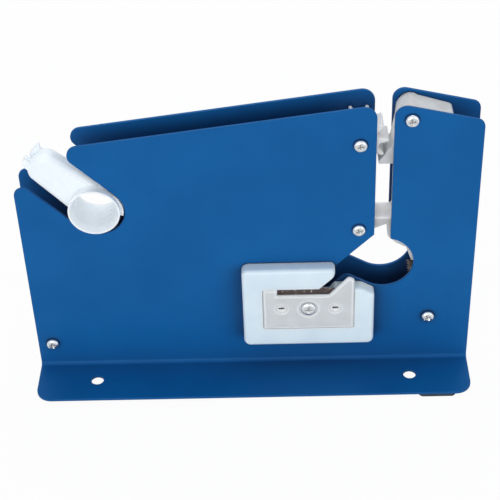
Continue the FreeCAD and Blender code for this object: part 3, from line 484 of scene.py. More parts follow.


# Each finish's edge colour is a painted highlight along its edges; where darker than the base, on the blue
# paint, it is painted shade
FINISHES: dict[Slot, Finish] = {
    # Blue paint: its dark edge colour is painted shade on the cut edges, and its contact colour painted shade
    # in the thin gaps round screws and blocks
    Slot.BLUE_PAINT: SheetPaint(
        "0c5b9a", "0a5593", "0b4275", rough=(0.42, 0.5), grain_mm=0.45, grain_height_mm=0.012, patch_mm=40.0,
        edge_mm=0.35, edge_gain=5.0, edge_rough=0.5, contact="03152b", contact_mm=0.65, contact_gain=1.8,
        specular=0.1),
    Slot.ZINC: PlatedSteel(
        "e0e6eb", "c8ced4", "f6fafe", rough=(0.14, 0.26), grain_mm=0.2, grain_height_mm=0.003, patch_mm=1.2,
        metallic=1.0),
    Slot.SPRING: Finish(
        "a9abaf", "8d9095", "d8dadd", rough=(0.25, 0.35), grain_mm=0.15, grain_height_mm=0.002, patch_mm=2.0,
        metallic=1.0),
    Slot.BLADE: MottledSteel(
        "504442", "3e3433", "c4bfbc", rough=(0.32, 0.45), grain_mm=0.25, grain_height_mm=0.004,
        stretch=(0.2, 1.0, 1.0), patch_mm=5.0, edge_mm=0.12, metallic=0.55),
    Slot.NYLON: Finish(
        "f9fafb", "eff1f4", "fcfdfe", grain_mm=0.6, grain_height_mm=0.006, patch_mm=8.0, subsurface=0.8,
        scatter_mm=7.0),
    Slot.MILKY: PaintedLightPlastic(
        "cbcfd3", "bfbfbe", "dfe2e5", rough=(0.3, 0.42), grain_mm=0.7, grain_height_mm=0.006, patch_mm=9.0,
        subsurface=0.8, scatter_mm=6.0),
    # Trimmer block: its near-white contact colour is painted light in the deep hollows of its holes
    Slot.TRIMMER: Finish(
        "dbe9f2", "d4e3ed", "eff7fb", rough=(0.28, 0.36), grain_mm=0.9, grain_height_mm=0.005, patch_mm=14.0,
        contact="fdfefe", contact_mm=2.5, contact_from=0.45, contact_gain=3.0, subsurface=0.6,
        scatter_mm=3.0),
    # Cover: the wide pale edge band is a painted highlight along its rims
    Slot.COVER: Finish(
        "d0d3d5", "cacdd0", "f6fafc", rough=(0.3, 0.42), grain_mm=0.6, grain_height_mm=0.006, patch_mm=6.0,
        edge_mm=1.5, edge_gain=16.0, subsurface=0.5, scatter_mm=2.5),
    Slot.HUB: Finish(
        "f0f6fb", "e9f0f7", "fafcfe", rough=(0.25, 0.34), grain_mm=0.9, grain_height_mm=0.004, patch_mm=14.0,
        subsurface=0.35, scatter_mm=3.0),
    Slot.RUBBER: Finish(
        "26303c", "1e2732", "3a4654", rough=(0.6, 0.75), grain_mm=0.25, grain_height_mm=0.02, patch_mm=5.0),
}


# ---------------------------------------------------------------- outlines
def polar(centre: Point, radius: float, degrees: float) -> Point:
    """The point at this angle and distance from a centre."""
    angle = math.radians(degrees)
    return (centre[0] + radius * math.cos(angle), centre[1] + radius * math.sin(angle))


def arc(centre: Point, radius: float, start: float, end: float) -> Loop:
    """Points along an arc, from one angle to another, in degrees."""
    steps = max(2, math.ceil(abs(end - start) / ARC_STEP))
    return [polar(centre, radius, start + (end - start) * i / steps) for i in range(steps + 1)]


def circle(x: float, y: float, radius: float) -> Loop:
    """A closed circle."""
    return arc((x, y), radius, 0.0, 360.0)[:-1]


def sharp(points: Iterable[Point]) -> list[Corner]:
    """The points as corners with no rounding."""
    return [(a, b, 0.0) for a, b in points]


def rounded(corners: Sequence[Corner]) -> Loop:
    """Closed outline through (a, b, radius) corners, each rounded by its own radius.

    Args:
        corners: the corners in order; a radius of 0 leaves one sharp.

    Returns:
        The outline.
    """
    loop: Loop = []
    for i, (a, b, radius) in enumerate(corners):
        if radius <= 0:
            loop.append((a, b))
            continue
        here = Vector((a, b))
        back = (Vector(corners[i - 1][:2]) - here).normalized()
        ahead = (Vector(corners[(i + 1) % len(corners)][:2]) - here).normalized()
        half = back.angle(ahead) / 2
        centre = here + (back + ahead).normalized() * (radius / math.sin(half))
        first = here + back * (radius / math.tan(half)) - centre
        start = math.degrees(math.atan2(first.y, first.x))
        turn = math.copysign(180.0 - 2 * math.degrees(half), back.y * ahead.x - back.x * ahead.y)
        loop.extend(arc((centre.x, centre.y), radius, start, start + turn))
    return loop


def rectangle(a: float, b: float, half_a: float, half_b: float, radius: float) -> Loop:
    """Rounded rectangle about (a, b)."""
    signs = ((-1, -1), (1, -1), (1, 1), (-1, 1))
    return rounded([(a + i * half_a, b + j * half_b, radius) for i, j in signs])


# ---------------------------------------------------------------- mesh making
@contextmanager
def editing(mesh: Mesh) -> Iterator[bmesh.types.BMesh]:
    """Opens a mesh for editing and writes it back at the end.

    Args:
        mesh: the mesh to edit.

    Yields:
        The editable mesh.
    """
    cage = bmesh.new()
    cage.from_mesh(mesh)
    yield cage
    cage.to_mesh(mesh)
    cage.free()


def placed(name: str, data: bpy.types.ID) -> bpy.types.Object:
    """A new object in the scene.

    Args:
        name: the object's name.
        data: its mesh, curve, lamp or camera.

    Returns:
        The object.
    """
    obj = bpy.data.objects.new(name, data)
    bpy.context.scene.collection.objects.link(obj)
    return obj


def mesh_of(obj: bpy.types.Object) -> Mesh:
    """The object's evaluated geometry as a plain mesh of its own; the object is deleted.

    Args:
        obj: the object, with its modifiers.

    Returns:
        The mesh.
    """
    depsgraph = bpy.context.evaluated_depsgraph_get()
    mesh = bpy.data.meshes.new_from_object(obj.evaluated_get(depsgraph))
    bpy.data.objects.remove(obj)
    return mesh


def tidy_mesh(mesh: Mesh, merge: float = DOUBLES) -> Mesh:
    """Merges doubles and turns every face outwards.

    Args:
        mesh: the mesh to tidy.
        merge: points closer than this become one.

    Returns:
        The same mesh.
    """
    with editing(mesh) as cage:
        bmesh.ops.remove_doubles(cage, verts=cage.verts, dist=merge)
        bmesh.ops.dissolve_degenerate(cage, edges=cage.edges, dist=merge)
        bmesh.ops.recalc_face_normals(cage, faces=cage.faces)
    return mesh


def sliced(cage: bmesh.types.BMesh, place: Sequence[float], normal: Sequence[float]) -> None:
    """Adds edges where a plane crosses the cage."""
    bmesh.ops.bisect_plane(cage, geom=cage.verts[:] + cage.edges[:] + cage.faces[:], plane_co=place,
                           plane_no=normal, dist=DOUBLES / 10)


def poly_curve(name: str, dimensions: str, loops: Iterable[Sequence[Place]], closed: bool) -> bpy.types.Curve:
    """A curve of straight pieces through the points of each loop.

    Args:
        name: the curve's name.
        dimensions: 2D or 3D.
        loops: the points of each spline.
        closed: whether the ends are joined.

    Returns:
        The curve.
    """
    curve = bpy.data.curves.new(name, "CURVE")
    curve.dimensions = dimensions
    for loop in loops:
        spline = curve.splines.new("POLY")
        spline.points.add(len(loop) - 1)
        spline.use_cyclic_u = closed
        for point, place in zip(spline.points, loop):
            point.co = (*place, 1.0)
    return curve


def slab(loops: Sequence[Loop], low: float, high: float, edge: float, segments: int = 2) -> Mesh:
    """Flat body between two levels with rounded rims.

    Args:
        loops: the outline and its holes, in plan.
        low: level of the lower face.
        high: level of the upper face.
        edge: radius of the rims.
        segments: extra divisions of each rim.

    Returns:
        The mesh.
    """
    curve = poly_curve("slab", "2D", [[(a, b, 0.0) for a, b in loop] for loop in loops], True)
    curve.fill_mode = "BOTH"
    curve.extrude = (high - low) / 2 - edge
    curve.bevel_depth = edge
    curve.bevel_resolution = segments
    curve.offset = -edge
    mesh = mesh_of(placed("slab", curve))
    mesh.transform(Matrix.Translation((0, 0, (high + low) / 2)))
    return tidy_mesh(mesh)


def side_slab(loops: Sequence[Loop], front: float, rear: float, edge: float, segments: int = 2) -> Mesh:
    """Flat body drawn in the side view, from its front Y to its rear Y.

    Args:
        loops: the outline and its holes, as (x, z) points.
        front: Y of the front face.
        rear: Y of the rear face.
        edge: radius of the rims.
        segments: extra divisions of each rim.

    Returns:
        The mesh.
    """
    mesh = slab(loops, -rear, -front, edge, segments)
    mesh.transform(Matrix.Rotation(QUARTER, 4, "X"))
    return mesh


def turned(profile: Sequence[Point], x: float = 0.0, z: float = 0.0, count: int = 56) -> Mesh:
    """Body turned about an axis along Y.

    Args:
        profile: (radius, y) points; the body is closed from the last to the first.
        x: the axis's X.
        z: the axis's Z.
        count: divisions round the axis.

    Returns:
        The mesh.
    """
    mesh = bpy.data.meshes.new("turned")
    with editing(mesh) as cage:
        rings = []
        for radius, y in profile:
            if radius > 0:
                points = (polar((x, z), radius, 360.0 * i / count) for i in range(count))
                rings.append([cage.verts.new((a, y, b)) for a, b in points])
            else:
                rings.append([cage.verts.new((x, y, z))] * count)
        for one, two in zip(rings, rings[1:] + rings[:1]):
            for i in range(count):
                j = (i + 1) % count
                corners = list(dict.fromkeys((one[i], one[j], two[j], two[i])))
                if len(corners) > 2:
                    cage.faces.new(corners)
    return tidy_mesh(mesh)


def tube(outer: float, bore: float, front: float, rear: float, chamfer: float, x: float = 0.0,
         z: float = 0.0) -> Mesh:
    """Tube along Y with chamfered ends.

    Args:
        outer: outer radius.
        bore: radius of the bore.
        front: Y of the front end.
        rear: Y of the rear end.
        chamfer: size of the four chamfers.
        x: the axis's X.
        z: the axis's Z.

    Returns:
        The mesh.
    """
    profile = [(outer, front + chamfer), (outer, rear - chamfer), (outer - chamfer, rear),
               (bore + chamfer, rear), (bore, rear - chamfer), (bore, front + chamfer),
               (bore + chamfer, front), (outer - chamfer, front)]
    return turned(profile, x, z)


def modified(mesh: Mesh, kind: str, **settings: object) -> Mesh:
    """The mesh after one modifier, as a plain mesh.

    Args:
        mesh: the mesh to start from.
        kind: the modifier's type.
        settings: the modifier's own properties.

    Returns:
        The new mesh.
    """
    obj = placed("work", mesh)
    modifier = obj.modifiers.new(kind, kind)
    for key, value in settings.items():
        setattr(modifier, key, value)
    return mesh_of(obj)


def combined(mesh: Mesh, other: Mesh, operation: str) -> Mesh:
    """The mesh after a boolean with another: UNION or DIFFERENCE.

    Args:
        mesh: the first mesh.
        other: the second mesh.
        operation: UNION or DIFFERENCE.

    Returns:
        The new mesh.
    """
    tool = placed("tool", other)
    result = modified(mesh, "BOOLEAN", object=tool, operation=operation, solver="EXACT")
    bpy.data.objects.remove(tool)
    return result


def bevelled(mesh: Mesh, width: float, angle: float, segments: int, **settings: object) -> Mesh:
    """The mesh with every edge that is sharper than an angle, in degrees, rounded.

    Args:
        mesh: the mesh to start from.
        width: how far the rounding reaches.
        angle: the sharpness from which an edge is rounded.
        segments: divisions of each rounding.
        settings: more properties of the bevel.

    Returns:
        The new mesh.
    """
    mesh = modified(mesh, "BEVEL", width=width, segments=segments, limit_method="ANGLE",
                    angle_limit=math.radians(angle), **settings)
    return tidy_mesh(mesh, WELD)


def ground(mesh: Mesh, along: int, start: float, edge: float, across: int, back: float, share: float) -> Mesh:
    """Grinds one face of a strip down towards its cutting edge.

    Args:
        mesh: the strip.
        along: index of the axis that runs to the edge.
        start: where the ground face begins on that axis.
        edge: where the cutting edge is on that axis.
        across: index of the axis through the strip.
        back: level of the face that stays flat.
        share: how much of the thickness is gone at the edge.

    Returns:
        The same mesh.
    """
    normal = Vector((0.0, 0.0, 0.0))
    normal[along] = 1.0
    with editing(mesh) as cage:
        sliced(cage, normal * start, normal)
        for vert in cage.verts:
            part = min(max((vert.co[along] - start) / (edge - start), 0.0), 1.0)
            vert.co[across] = back + (vert.co[across] - back) * (1 - share * part)
    return mesh


def softened(node: str, width: float, angle: float = 32.0, segments: int = 2) -> Mesh:
    """A moulded piece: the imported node's shape, merged, with every sharp edge rounded.

    Args:
        node: the CAD node.
        width: how far the rounding reaches, in millimetres.
        angle: edges sharper than this many degrees are rounded.
        segments: divisions of each rounding.

    Returns:
        The mesh, in millimetres.
    """
    mesh = bpy.data.meshes.new(node)
    with editing(mesh) as cage:
        cage.from_mesh(frame["nodes"][node].data)
        bmesh.ops.scale(cage, vec=(1 / MM, 1 / MM, 1 / MM), verts=cage.verts)
        bmesh.ops.remove_doubles(cage, verts=cage.verts, dist=PACKED_WELD)
        bmesh.ops.dissolve_degenerate(cage, edges=cage.edges, dist=PACKED_WELD / 2)
        bmesh.ops.dissolve_limit(cage, angle_limit=FLAT, verts=cage.verts, edges=cage.edges)
    return bevelled(mesh, width, angle, segments, use_clamp_overlap=True, miter_outer="MITER_ARC")


@dataclass(frozen=True)
class Stretch:
    """Where a flexible piece passes over to a second body, in millimetres."""
    body: Body
    start: Place
    end: Place


class Bench:
    """Turns finished meshes into dressed pieces that ride on the bodies."""

    def __init__(self) -> None:
        """Makes every material once."""
        groups = SurfaceGroups()
        self.materials = {slot: FINISHES[slot].build(slot.value, groups) for slot in Slot}

    def fit(self, name: str, mesh: Mesh, slot: Slot, *nodes: str, body: Body = Body.FRAME,
            stretch: Stretch | None = None) -> None:
        """Dresses one piece and hangs it on its body; a piece given a stretch is not hung, only baked in
        place.

        Args:
            name: the piece's name.
            mesh: its mesh, in millimetres and in place.
            slot: the material slot it takes its finish from.
            nodes: the CAD nodes it stands for.
            body: the body it rides on.
            stretch: for a flexible piece, the second body it would reach to; only whether one is given is
                read.
        """
        mesh.transform(Matrix.Scale(MM, 4))
        mesh.shade_smooth()
        mesh.set_sharp_from_angle(angle=CREASE)
        mesh = modified(mesh, "WEIGHTED_NORMAL", keep_sharp=True, weight=NORMAL_WEIGHT)
        mesh.name = name
        mesh.materials.clear()
        mesh.materials.append(self.materials[slot])
        for polygon in mesh.polygons:
            polygon.material_index = 0
        piece = placed(name, mesh)
        if stretch:
            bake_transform(piece)
        else:
            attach(piece, body.value)
        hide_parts(*nodes)
        log.info("%s: %d faces on %s", name, len(mesh.polygons), body.value)

    def dress_nodes(self) -> None:
        """Gives every CAD node its slot's material, and reports the ones that still show."""
        slots = {part["node"]: Slot(part["material_slot"]) for part in frame["record"]["subparts"]}
        for name, node in frame["nodes"].items():
            node.data.materials.clear()
            node.data.materials.append(self.materials[slots[name]])
            if not node.hide_render:
                log.info("%s: shown as packed", name)


# ---------------------------------------------------------------- repeats
class Repeat:
    """Geometry Nodes tree that sets copies of one piece on the points of a mesh."""

    def __init__(self) -> None:
        """Builds the tree: points, instances with a seeded turn about Y, realised, with a material."""
        wire, inlet = new_group(
            "repeat_on_points", "GeometryNodeTree",
            {"Geometry": "Geometry", "Master": "Object", "Facing": 0.0, "Seed": 7, "Turn": 0.0,
             "Material": "Material"}, {"Geometry": "Geometry"})
        master = wire.add("GeometryNodeObjectInfo", {"Object": inlet["Master"]})
        turn = wire.add("FunctionNodeRandomValue", {3: inlet["Turn"], "Seed": inlet["Seed"]},
                        data_type="FLOAT")
        spin = wire.add("ShaderNodeCombineXYZ", {"Y": turn.outputs[1], "Z": inlet["Facing"]})
        points = wire.add("GeometryNodeMeshToPoints", {"Mesh": inlet["Geometry"]})
        copies = wire.add("GeometryNodeInstanceOnPoints", {
            "Points": points.outputs[0], "Instance": master.outputs["Geometry"], "Rotation": spin.outputs[0]})
        real = wire.add("GeometryNodeRealizeInstances", {"Geometry": copies.outputs[0]})
        dressed = wire.add("GeometryNodeSetMaterial", {
            "Geometry": real.outputs[0], "Material": inlet["Material"]})
        wire.add("NodeGroupOutput", {"Geometry": dressed.outputs[0]})
        self.tree = wire.tree

    def run(self, master: Mesh, places: Sequence[Place], material: bpy.types.Material,
            facing: Facing = Facing.FRONT, turn: float = 0.0, seed: int = 7) -> Mesh:
        """Sets the copies out.

        Args:
            master: the mesh to repeat, made round the origin.
            places: where the copies go.
            material: what they are made of.
            facing: which way their front points.
            turn: the largest turn about Y, in radians; each copy gets its own.
            seed: seed of the turns.

        Returns:
            All copies as one mesh.
        """
        points = bpy.data.meshes.new("places")
        points.from_pydata(places, [], [])
        model = placed("master", master)
        carrier = placed("carrier", points)
        modifier = carrier.modifiers.new("repeat", "NODES")
        modifier.node_group = self.tree
        values = {"Master": model, "Facing": facing.value, "Seed": seed, "Turn": turn, "Material": material}
        for item in self.tree.interface.items_tree:
            if item.in_out == "INPUT" and item.name in values:
                modifier[item.identifier] = values[item.name]
        mesh = mesh_of(carrier)
        bpy.data.objects.remove(model)
        return mesh


# ---------------------------------------------------------------- sub-assemblies
@dataclass
class Layout:
    """Places and sizes that several sub-assemblies share."""
    sheet: float = 1.2
    gap: float = 12.0
    half_length: float = 90.0
    pad_thick: float = 1.3
    bend_radius: float = 1.6
    screw_radius: float = 1.5
    running_fit: float = 0.05
    side_play: float = 0.3
    spacer_radius: float = 3.0
    left_spacer: Point = (-83.8, 14.0)
    right_spacer: Point = (72.7, 25.1)
    guide: Point = (43.7, 70.3)
    wheel: Point = (43.7, 109.9)
    pivot: Point = (62.7, 120.5)
    trimmer_screw: Point = (23.5, 34.7)
    spring_x: float = 81.9
    spring_top_z: float = 107.0
    spring_low_z: float = 67.5

    @property
    def inner(self) -> float:
        """Y of a plate's inner face."""
        return self.gap / 2

    @property
    def outer(self) -> float:
        """Y of a plate's outer face."""
        return self.inner + self.sheet

    @property
    def axles(self) -> dict[str, Point]:
        """The five screwed places, by the name of what the screws hold."""
        return {"left_spacer": self.left_spacer, "right_spacer": self.right_spacer,
                "guide_spacer": self.guide, "wheel_axle": self.wheel, "lever_pivot": self.pivot}


@dataclass
class SheetPlates:
    """The two folded plates, cut as a flat pattern and folded as the real sheet is."""
    layout: Layout
    flange_reach: float = 22.0
    flange_corner: float = 6.5
    main_top_z: float = 126.75
    main_slope: float = 7.4
    main_corner: float = 5.0
    column_top_z: float = 127.4
    column_slope: float = 13.4
    column_neck_corner: float = 4.5
    column_corner: float = 3.5
    mount_spacing: float = 130.5
    mount_from_plate: float = 10.75
    mount_radius: float = 2.6
    neck_left: float = 49.8
    neck_right: float = 56.3
    opening: Point = (53.7, 53.5)
    opening_radius: float = 12.1
    tail_top_z: float = 67.5
    tail_width: float = 5.8
    tail_reach: float = 26.0
    lip_slope: float = 30.0
    lip_radius: float = 3.0
    slot_width: float = 21.2
    slot_end: Point = (-58.3, 81.7)
    nose_radius: float = 4.3
    horn_radius: float = 3.5
    hole_play: float = 0.2
    bolt_radius: float = 2.0
    edge: float = 0.14
    folds: int = 10

    def slot_point(self, out: float, side: float) -> Point:
        """A point of the hub slot: out along it from its end centre, and side across it."""
        return (self.slot_end[0] + (side - out) * DIAGONAL, self.slot_end[1] + (side + out) * DIAGONAL)

    def main_top(self, x: float) -> float:
        """Height of the long sloping edge."""
        return self.main_top_z - (self.neck_left - x) * math.tan(math.radians(self.main_slope))

    def column_top(self, x: float) -> float:
        """Height of the column's sloping edge."""
        return self.column_top_z - (x - self.neck_right) * math.tan(math.radians(self.column_slope))

    def opening_edge(self) -> list[Corner]:
        """From the neck slot's right side, round the opening and the tail, to the slot's left side.

        Returns:
            The corners in order.
        """
        start = math.degrees(math.acos((self.neck_right - self.opening[0]) / self.opening_radius))
        end = -90.0 - self.lip_slope
        upper = self.tail_top_z - self.neck_left
        lower = upper - self.tail_width / DIAGONAL
        step = self.tail_width * DIAGONAL
        end_x = self.neck_left - self.tail_reach
        touch = polar(self.opening, self.opening_radius, end)
        slope = math.tan(math.radians(self.lip_slope))
        lip_x = (touch[1] + touch[0] * slope - lower) / (1 + slope)
        return sharp(arc(self.opening, self.opening_radius, start, end)) + [
            (lip_x, lip_x + lower, self.lip_radius),
            (end_x + step, end_x + step + lower, self.tail_width / 2),
            (end_x, end_x + upper, self.tail_width / 2),
            (self.neck_left, self.tail_top_z, 0.0)]

    @property
    def fold_length(self) -> float:
        """Developed length of the bend."""
        return (self.layout.bend_radius + self.layout.sheet / 2) * QUARTER

    @property
    def bend_z(self) -> float:
        """Height of the bend's centre."""
        return self.layout.pad_thick + self.layout.sheet + self.layout.bend_radius

    def flat_pattern(self, bolted: bool) -> list[Loop]:
        """Outline and holes of the flat sheet, with heights measured from the top of the bend.

        Args:
            bolted: whether it has the hole of the trimmer's screw.

        Returns:
            The outline and the holes.
        """
        lay = self.layout
        half = self.slot_width / 2
        nose_x = ((sum(self.slot_point(0, half)) - self.main_top(0))
                  / (1 + math.tan(math.radians(self.main_slope))))
        side_view = [
            (lay.half_length, self.column_top(lay.half_length), self.column_corner),
            (self.neck_right, self.column_top(self.neck_right), self.column_neck_corner),
            *self.opening_edge(),
            (self.neck_left, self.main_top(self.neck_left), self.main_corner),
            (nose_x, self.main_top(nose_x), self.nose_radius),
            (*self.slot_point(-half, half), half),
            (*self.slot_point(-half, -half), half),
            (-lay.half_length, sum(self.slot_point(0, -half)) + lay.half_length, self.horn_radius)]
        plate_v = lay.bend_radius - self.fold_length
        flange_end = plate_v - self.flange_reach
        outline = [(-lay.half_length, flange_end, self.flange_corner),
                   (lay.half_length, flange_end, self.flange_corner)]
        outline += [(x, z - self.bend_z, radius) for x, z, radius in side_view]
        holes = [circle(x, z - self.bend_z, lay.screw_radius + self.hole_play) for x, z in lay.axles.values()]
        holes += [circle(side * self.mount_spacing / 2, plate_v - self.mount_from_plate, self.mount_radius)
                  for side in (-1, 1)]
        if bolted:
            x, z = lay.trimmer_screw
            holes.append(circle(x, z - self.bend_z, self.bolt_radius + self.hole_play))
        return [rounded(outline)] + holes

    def folded(self, bolted: bool) -> Mesh:
        """The front plate: the flat pattern with rounded rims, divided across the bend and folded.

        Args:
            bolted: whether it has the hole of the trimmer's screw.

        Returns:
            The mesh.
        """
        lay = self.layout
        length = self.fold_length
        bend_y = -(lay.outer + lay.bend_radius)
        mesh = slab(self.flat_pattern(bolted), 0.0, lay.sheet, self.edge)
        with editing(mesh) as cage:
            for i in range(self.folds + 1):
                sliced(cage, (0, -length * i / self.folds, 0), (0, 1, 0))
            for vert in cage.verts:
                x, v, w = vert.co
                radius = lay.bend_radius + lay.sheet - w
                angle = min(max(-v / length, 0.0), 1.0) * QUARTER
                past_top = max(v, 0.0)
                past_bend = max(-v - length, 0.0)
                vert.co = (x, bend_y + radius * math.cos(angle) - past_bend,
                           self.bend_z - radius * math.sin(angle) + past_top)
        return mesh

    def build(self, bench: Bench) -> None:
        """Makes both plates.

        Args:
            bench: dresses and hangs the pieces.
        """
        bench.fit("front_sheet", self.folded(True), Slot.BLUE_PAINT, "front_plate")
        rear = self.folded(False)
        rear.transform(Matrix.Scale(-1, 4, (0, 1, 0)))
        bench.fit("rear_sheet", tidy_mesh(rear), Slot.BLUE_PAINT, "rear_plate")


@dataclass
class Fasteners:
    """Screws, spacers, axles and washers between and outside the plates."""
    layout: Layout
    head_radius: float = 2.65
    head_height: float = 1.9
    grip: float = 5.0
    dome_power: float = 0.55
    dome_foot: float = 0.38
    dome_step: int = 9
    seat_chamfer: Point = (0.1, 0.12)
    tip_chamfer: float = 0.3
    arm_mouth: Place = (-0.2, 1.624, 0.341)     # a recess arm's depth, half length and half width
    arm_foot: Place = (1.1, 0.6525, 0.186)
    edge: float = 0.06
    edge_angle: float = 38.0
    recess_rim: float = 0.2
    crown_share: float = 0.66
    crown_oil: float = 0.32
    seeds: tuple[int, int] = (3, 11)
    tube_chamfer: float = 0.2
    guide_radius: float = 4.6
    guide_chamfer: float = 0.35
    wheel_washer_radius: float = 5.2
    wheel_width: float = 9.6
    lever_washer_radius: float = 4.2
    lever_width: float = 10.0
    washer_chamfer: float = 0.12

    def pan_head(self, radius: float, height: float) -> list[Point]:
        """Profile of a domed head whose seat is at y = 0, from the rim to the crown.

        Args:
            radius: the head's radius.
            height: the head's height.

        Returns:
            The (radius, y) points.
        """
        inset, rise = self.seat_chamfer
        dome = []
        for degrees in range(0, 90, self.dome_step):
            out, up = polar((0.0, 0.0), 1.0, degrees)
            level = self.dome_foot + (1 - self.dome_foot) * up
            dome.append((radius * out ** self.dome_power, -height * level))
        return [(radius - inset, 0.0), (radius, -rise), *dome, (0.0, -height)]

    def recess(self, height: float) -> Mesh:
        """Cutter for the cross recess: two arms that narrow towards the bottom.

        Args:
            height: the head's height.

        Returns:
            The cutter.
        """
        arms = []
        for turn in (0.0, QUARTER):
            arm = bpy.data.meshes.new("arm")
            with editing(arm) as cage:
                bmesh.ops.create_cube(cage, size=1.0)
                for vert in cage.verts:
                    x, y, z = vert.co
                    depth, reach, half = self.arm_foot if y > 0 else self.arm_mouth
                    vert.co = (math.copysign(reach, x), depth - height, math.copysign(half, z))
                cage.transform(Matrix.Rotation(turn, 4, "Y"))
            arms.append(arm)
        return combined(*arms, "UNION")

    def screw(self, shank_radius: float, shank_length: float, radius: float, height: float) -> Mesh:
        """A cross-recess screw at the origin, pointing to the rear, with its recess marked.

        Args:
            shank_radius: radius of the plain shank.
            shank_length: length below the head.
            radius: the head's radius.
            height: the head's height.

        Returns:
            The mesh.
        """
        shank = [(0.0, shank_length), (shank_radius - self.tip_chamfer, shank_length),
                 (shank_radius, shank_length - self.tip_chamfer), (shank_radius, 0.0)]
        body = turned(self.pan_head(radius, height) + shank)
        cut = tidy_mesh(combined(body, self.recess(height), "DIFFERENCE"), PACKED_WELD)
        mesh = bevelled(cut, self.edge, self.edge_angle, 1)
        marks = mesh.attributes.new(RECESS, "FLOAT", "POINT")
        for vert, mark in zip(mesh.vertices, marks.data):
            inside = vert.co.y < 0.0 and math.hypot(vert.co.x, vert.co.z) < self.crown_share * radius
            deep = vert.co.y > self.recess_rim - height
            mark.value = (1.0 if deep else self.crown_oil) if inside else 0.0
        return mesh

    def build(self, bench: Bench, repeat: Repeat) -> None:
        """Makes the ten screws, the five spacers and axles, the guide sleeve and the washers.

        Args:
            bench: dresses and hangs the pieces.
            repeat: sets out what comes more than once.
        """
        lay = self.layout
        screw = self.screw(lay.screw_radius, lay.sheet + self.grip, self.head_radius, self.head_height)
        for facing, seat, seed in zip(Facing, (-lay.outer, lay.outer), self.seeds):
            name = facing.name.lower()
            places = [(x, seat, z) for x, z in lay.axles.values()]
            mesh = repeat.run(screw, places, bench.materials[Slot.ZINC], facing, QUARTER, seed)
            bench.fit(name + "_screw_set", mesh, Slot.ZINC, name + "_screws")
        for name, (x, z) in lay.axles.items():
            mesh = tube(lay.spacer_radius, lay.screw_radius + lay.running_fit, -lay.inner, lay.inner,
                        self.tube_chamfer, x, z)
            bench.fit(name + "_tube", mesh, Slot.ZINC, name)
        bore = lay.spacer_radius + lay.running_fit
        reach = lay.inner - lay.side_play
        sleeve = tube(self.guide_radius, bore, -reach, reach, self.guide_chamfer, *lay.guide)
        bench.fit("guide_sleeve", sleeve, Slot.NYLON, "tape_guide")
        for name, (x, z), radius, width in (
                ("wheel_washers", lay.wheel, self.wheel_washer_radius, self.wheel_width),
                ("lever_washers", lay.pivot, self.lever_washer_radius, self.lever_width)):
            thick = lay.inner - width / 2 - lay.side_play
            ring = tube(radius, bore, -thick / 2, thick / 2, min(self.washer_chamfer, thick / 4))
            places = [(x, side * (lay.inner - thick / 2), z) for side in (-1, 1)]
            mesh = repeat.run(ring, places, bench.materials[Slot.NYLON])
            bench.fit(name + "_pair", mesh, Slot.NYLON, name)


@dataclass
class FootPads:
    """Four thin rubber pads under the ends of the flanges."""
    layout: Layout
    length: float = 15.2
    width: float = 12.0
    corner: float = 2.0
    edge: float = 0.15
    from_end: float = 6.5
    from_edge: float = 3.0
    flange_edge: float = 29.2

    def build(self, bench: Bench, repeat: Repeat) -> None:
        """Makes the pads; the front right one is stuck on flush with the flange's edge.

        Args:
            bench: dresses and hangs the pieces.
            repeat: sets out what comes more than once.
        """
        lay = self.layout
        half_l, half_w = self.length / 2, self.width / 2
        pad = slab([rectangle(0.0, 0.0, half_l, half_w, self.corner)], 0.0, lay.pad_thick, self.edge)
        places = []
        for side_x in (-1, 1):
            for side_y in (-1, 1):
                inset = 0.0 if side_x > 0 > side_y else self.from_edge
                places.append((side_x * (lay.half_length - self.from_end - half_l),
                               side_y * (self.flange_edge - inset - half_w), 0.0))
        mesh = repeat.run(pad, places, bench.materials[Slot.RUBBER])
        bench.fit("rubber_feet", mesh, Slot.RUBBER, "foot_pads")


@dataclass
class ReturnSpring:
    """Tension spring with a loop round the peg at each end, bent from one wire."""
    layout: Layout
    coil_radius: float = 2.2
    wire: float = 0.25
    wire_divisions: int = 3
    turns: int = 16
    turn_steps: int = 28
    loop_radius: float = 2.1
    loop_degrees: range = range(50, 361, 10)
    peg_radius: float = 1.1
    peg_play: float = 0.03
    corner: float = 0.7
    corner_degrees: range = range(0, 91, 15)
    run_share: float = 0.6

    def loop(self) -> list[Vector]:
        """Centre line of one end loop and the corner into the coil, with the coil's end at the origin.

        Returns:
            The points, from the wire's end to the coil.
        """
        points = [Vector((math.sin(angle), 0.0, 1 - math.cos(angle))) * self.loop_radius
                  for angle in map(math.radians, self.loop_degrees)]
        run = self.coil_radius - self.corner
        points.append(Vector((run * self.run_share, 0.0, 0.0)))
        points += [Vector((run + self.corner * math.sin(angle), self.corner * (1 - math.cos(angle)), 0.0))
                   for angle in map(math.radians, self.corner_degrees)]
        return points

    def build(self, bench: Bench) -> None:
        """Bends the wire and lays it between the pegs.

        Args:
            bench: dresses and hangs the pieces.
        """
        lay = self.layout
        offset = self.loop_radius - self.wire - self.peg_radius - self.peg_play
        start = lay.spring_low_z + offset + self.loop_radius
        end = lay.spring_top_z - offset - self.loop_radius
        first = math.asin(self.corner / self.coil_radius)
        count = self.turns * self.turn_steps
        sweep = self.turns * 2 * math.pi - 2 * first
        path = [Vector((p.x, p.y, start - p.z)) for p in self.loop()]
        for i in range(1, count):
            angle = first + sweep * i / count
            path.append(Vector((self.coil_radius * math.cos(angle), self.coil_radius * math.sin(angle),
                                start + (end - start) * i / count)))
        path += [Vector((p.x, -p.y, end + p.z)) for p in reversed(self.loop())]
        curve = poly_curve("wire", "3D", [[(p.x + lay.spring_x, p.y, p.z) for p in path]], False)
        curve.bevel_depth = self.wire
        curve.bevel_resolution = self.wire_divisions
        curve.use_fill_caps = True
        mesh = tidy_mesh(mesh_of(placed("wire", curve)))
        reach = Stretch(Body.LEVER, (lay.spring_x, 0.0, start), (lay.spring_x, 0.0, end))
        bench.fit("return_spring", mesh, Slot.SPRING, "lever_spring", stretch=reach)


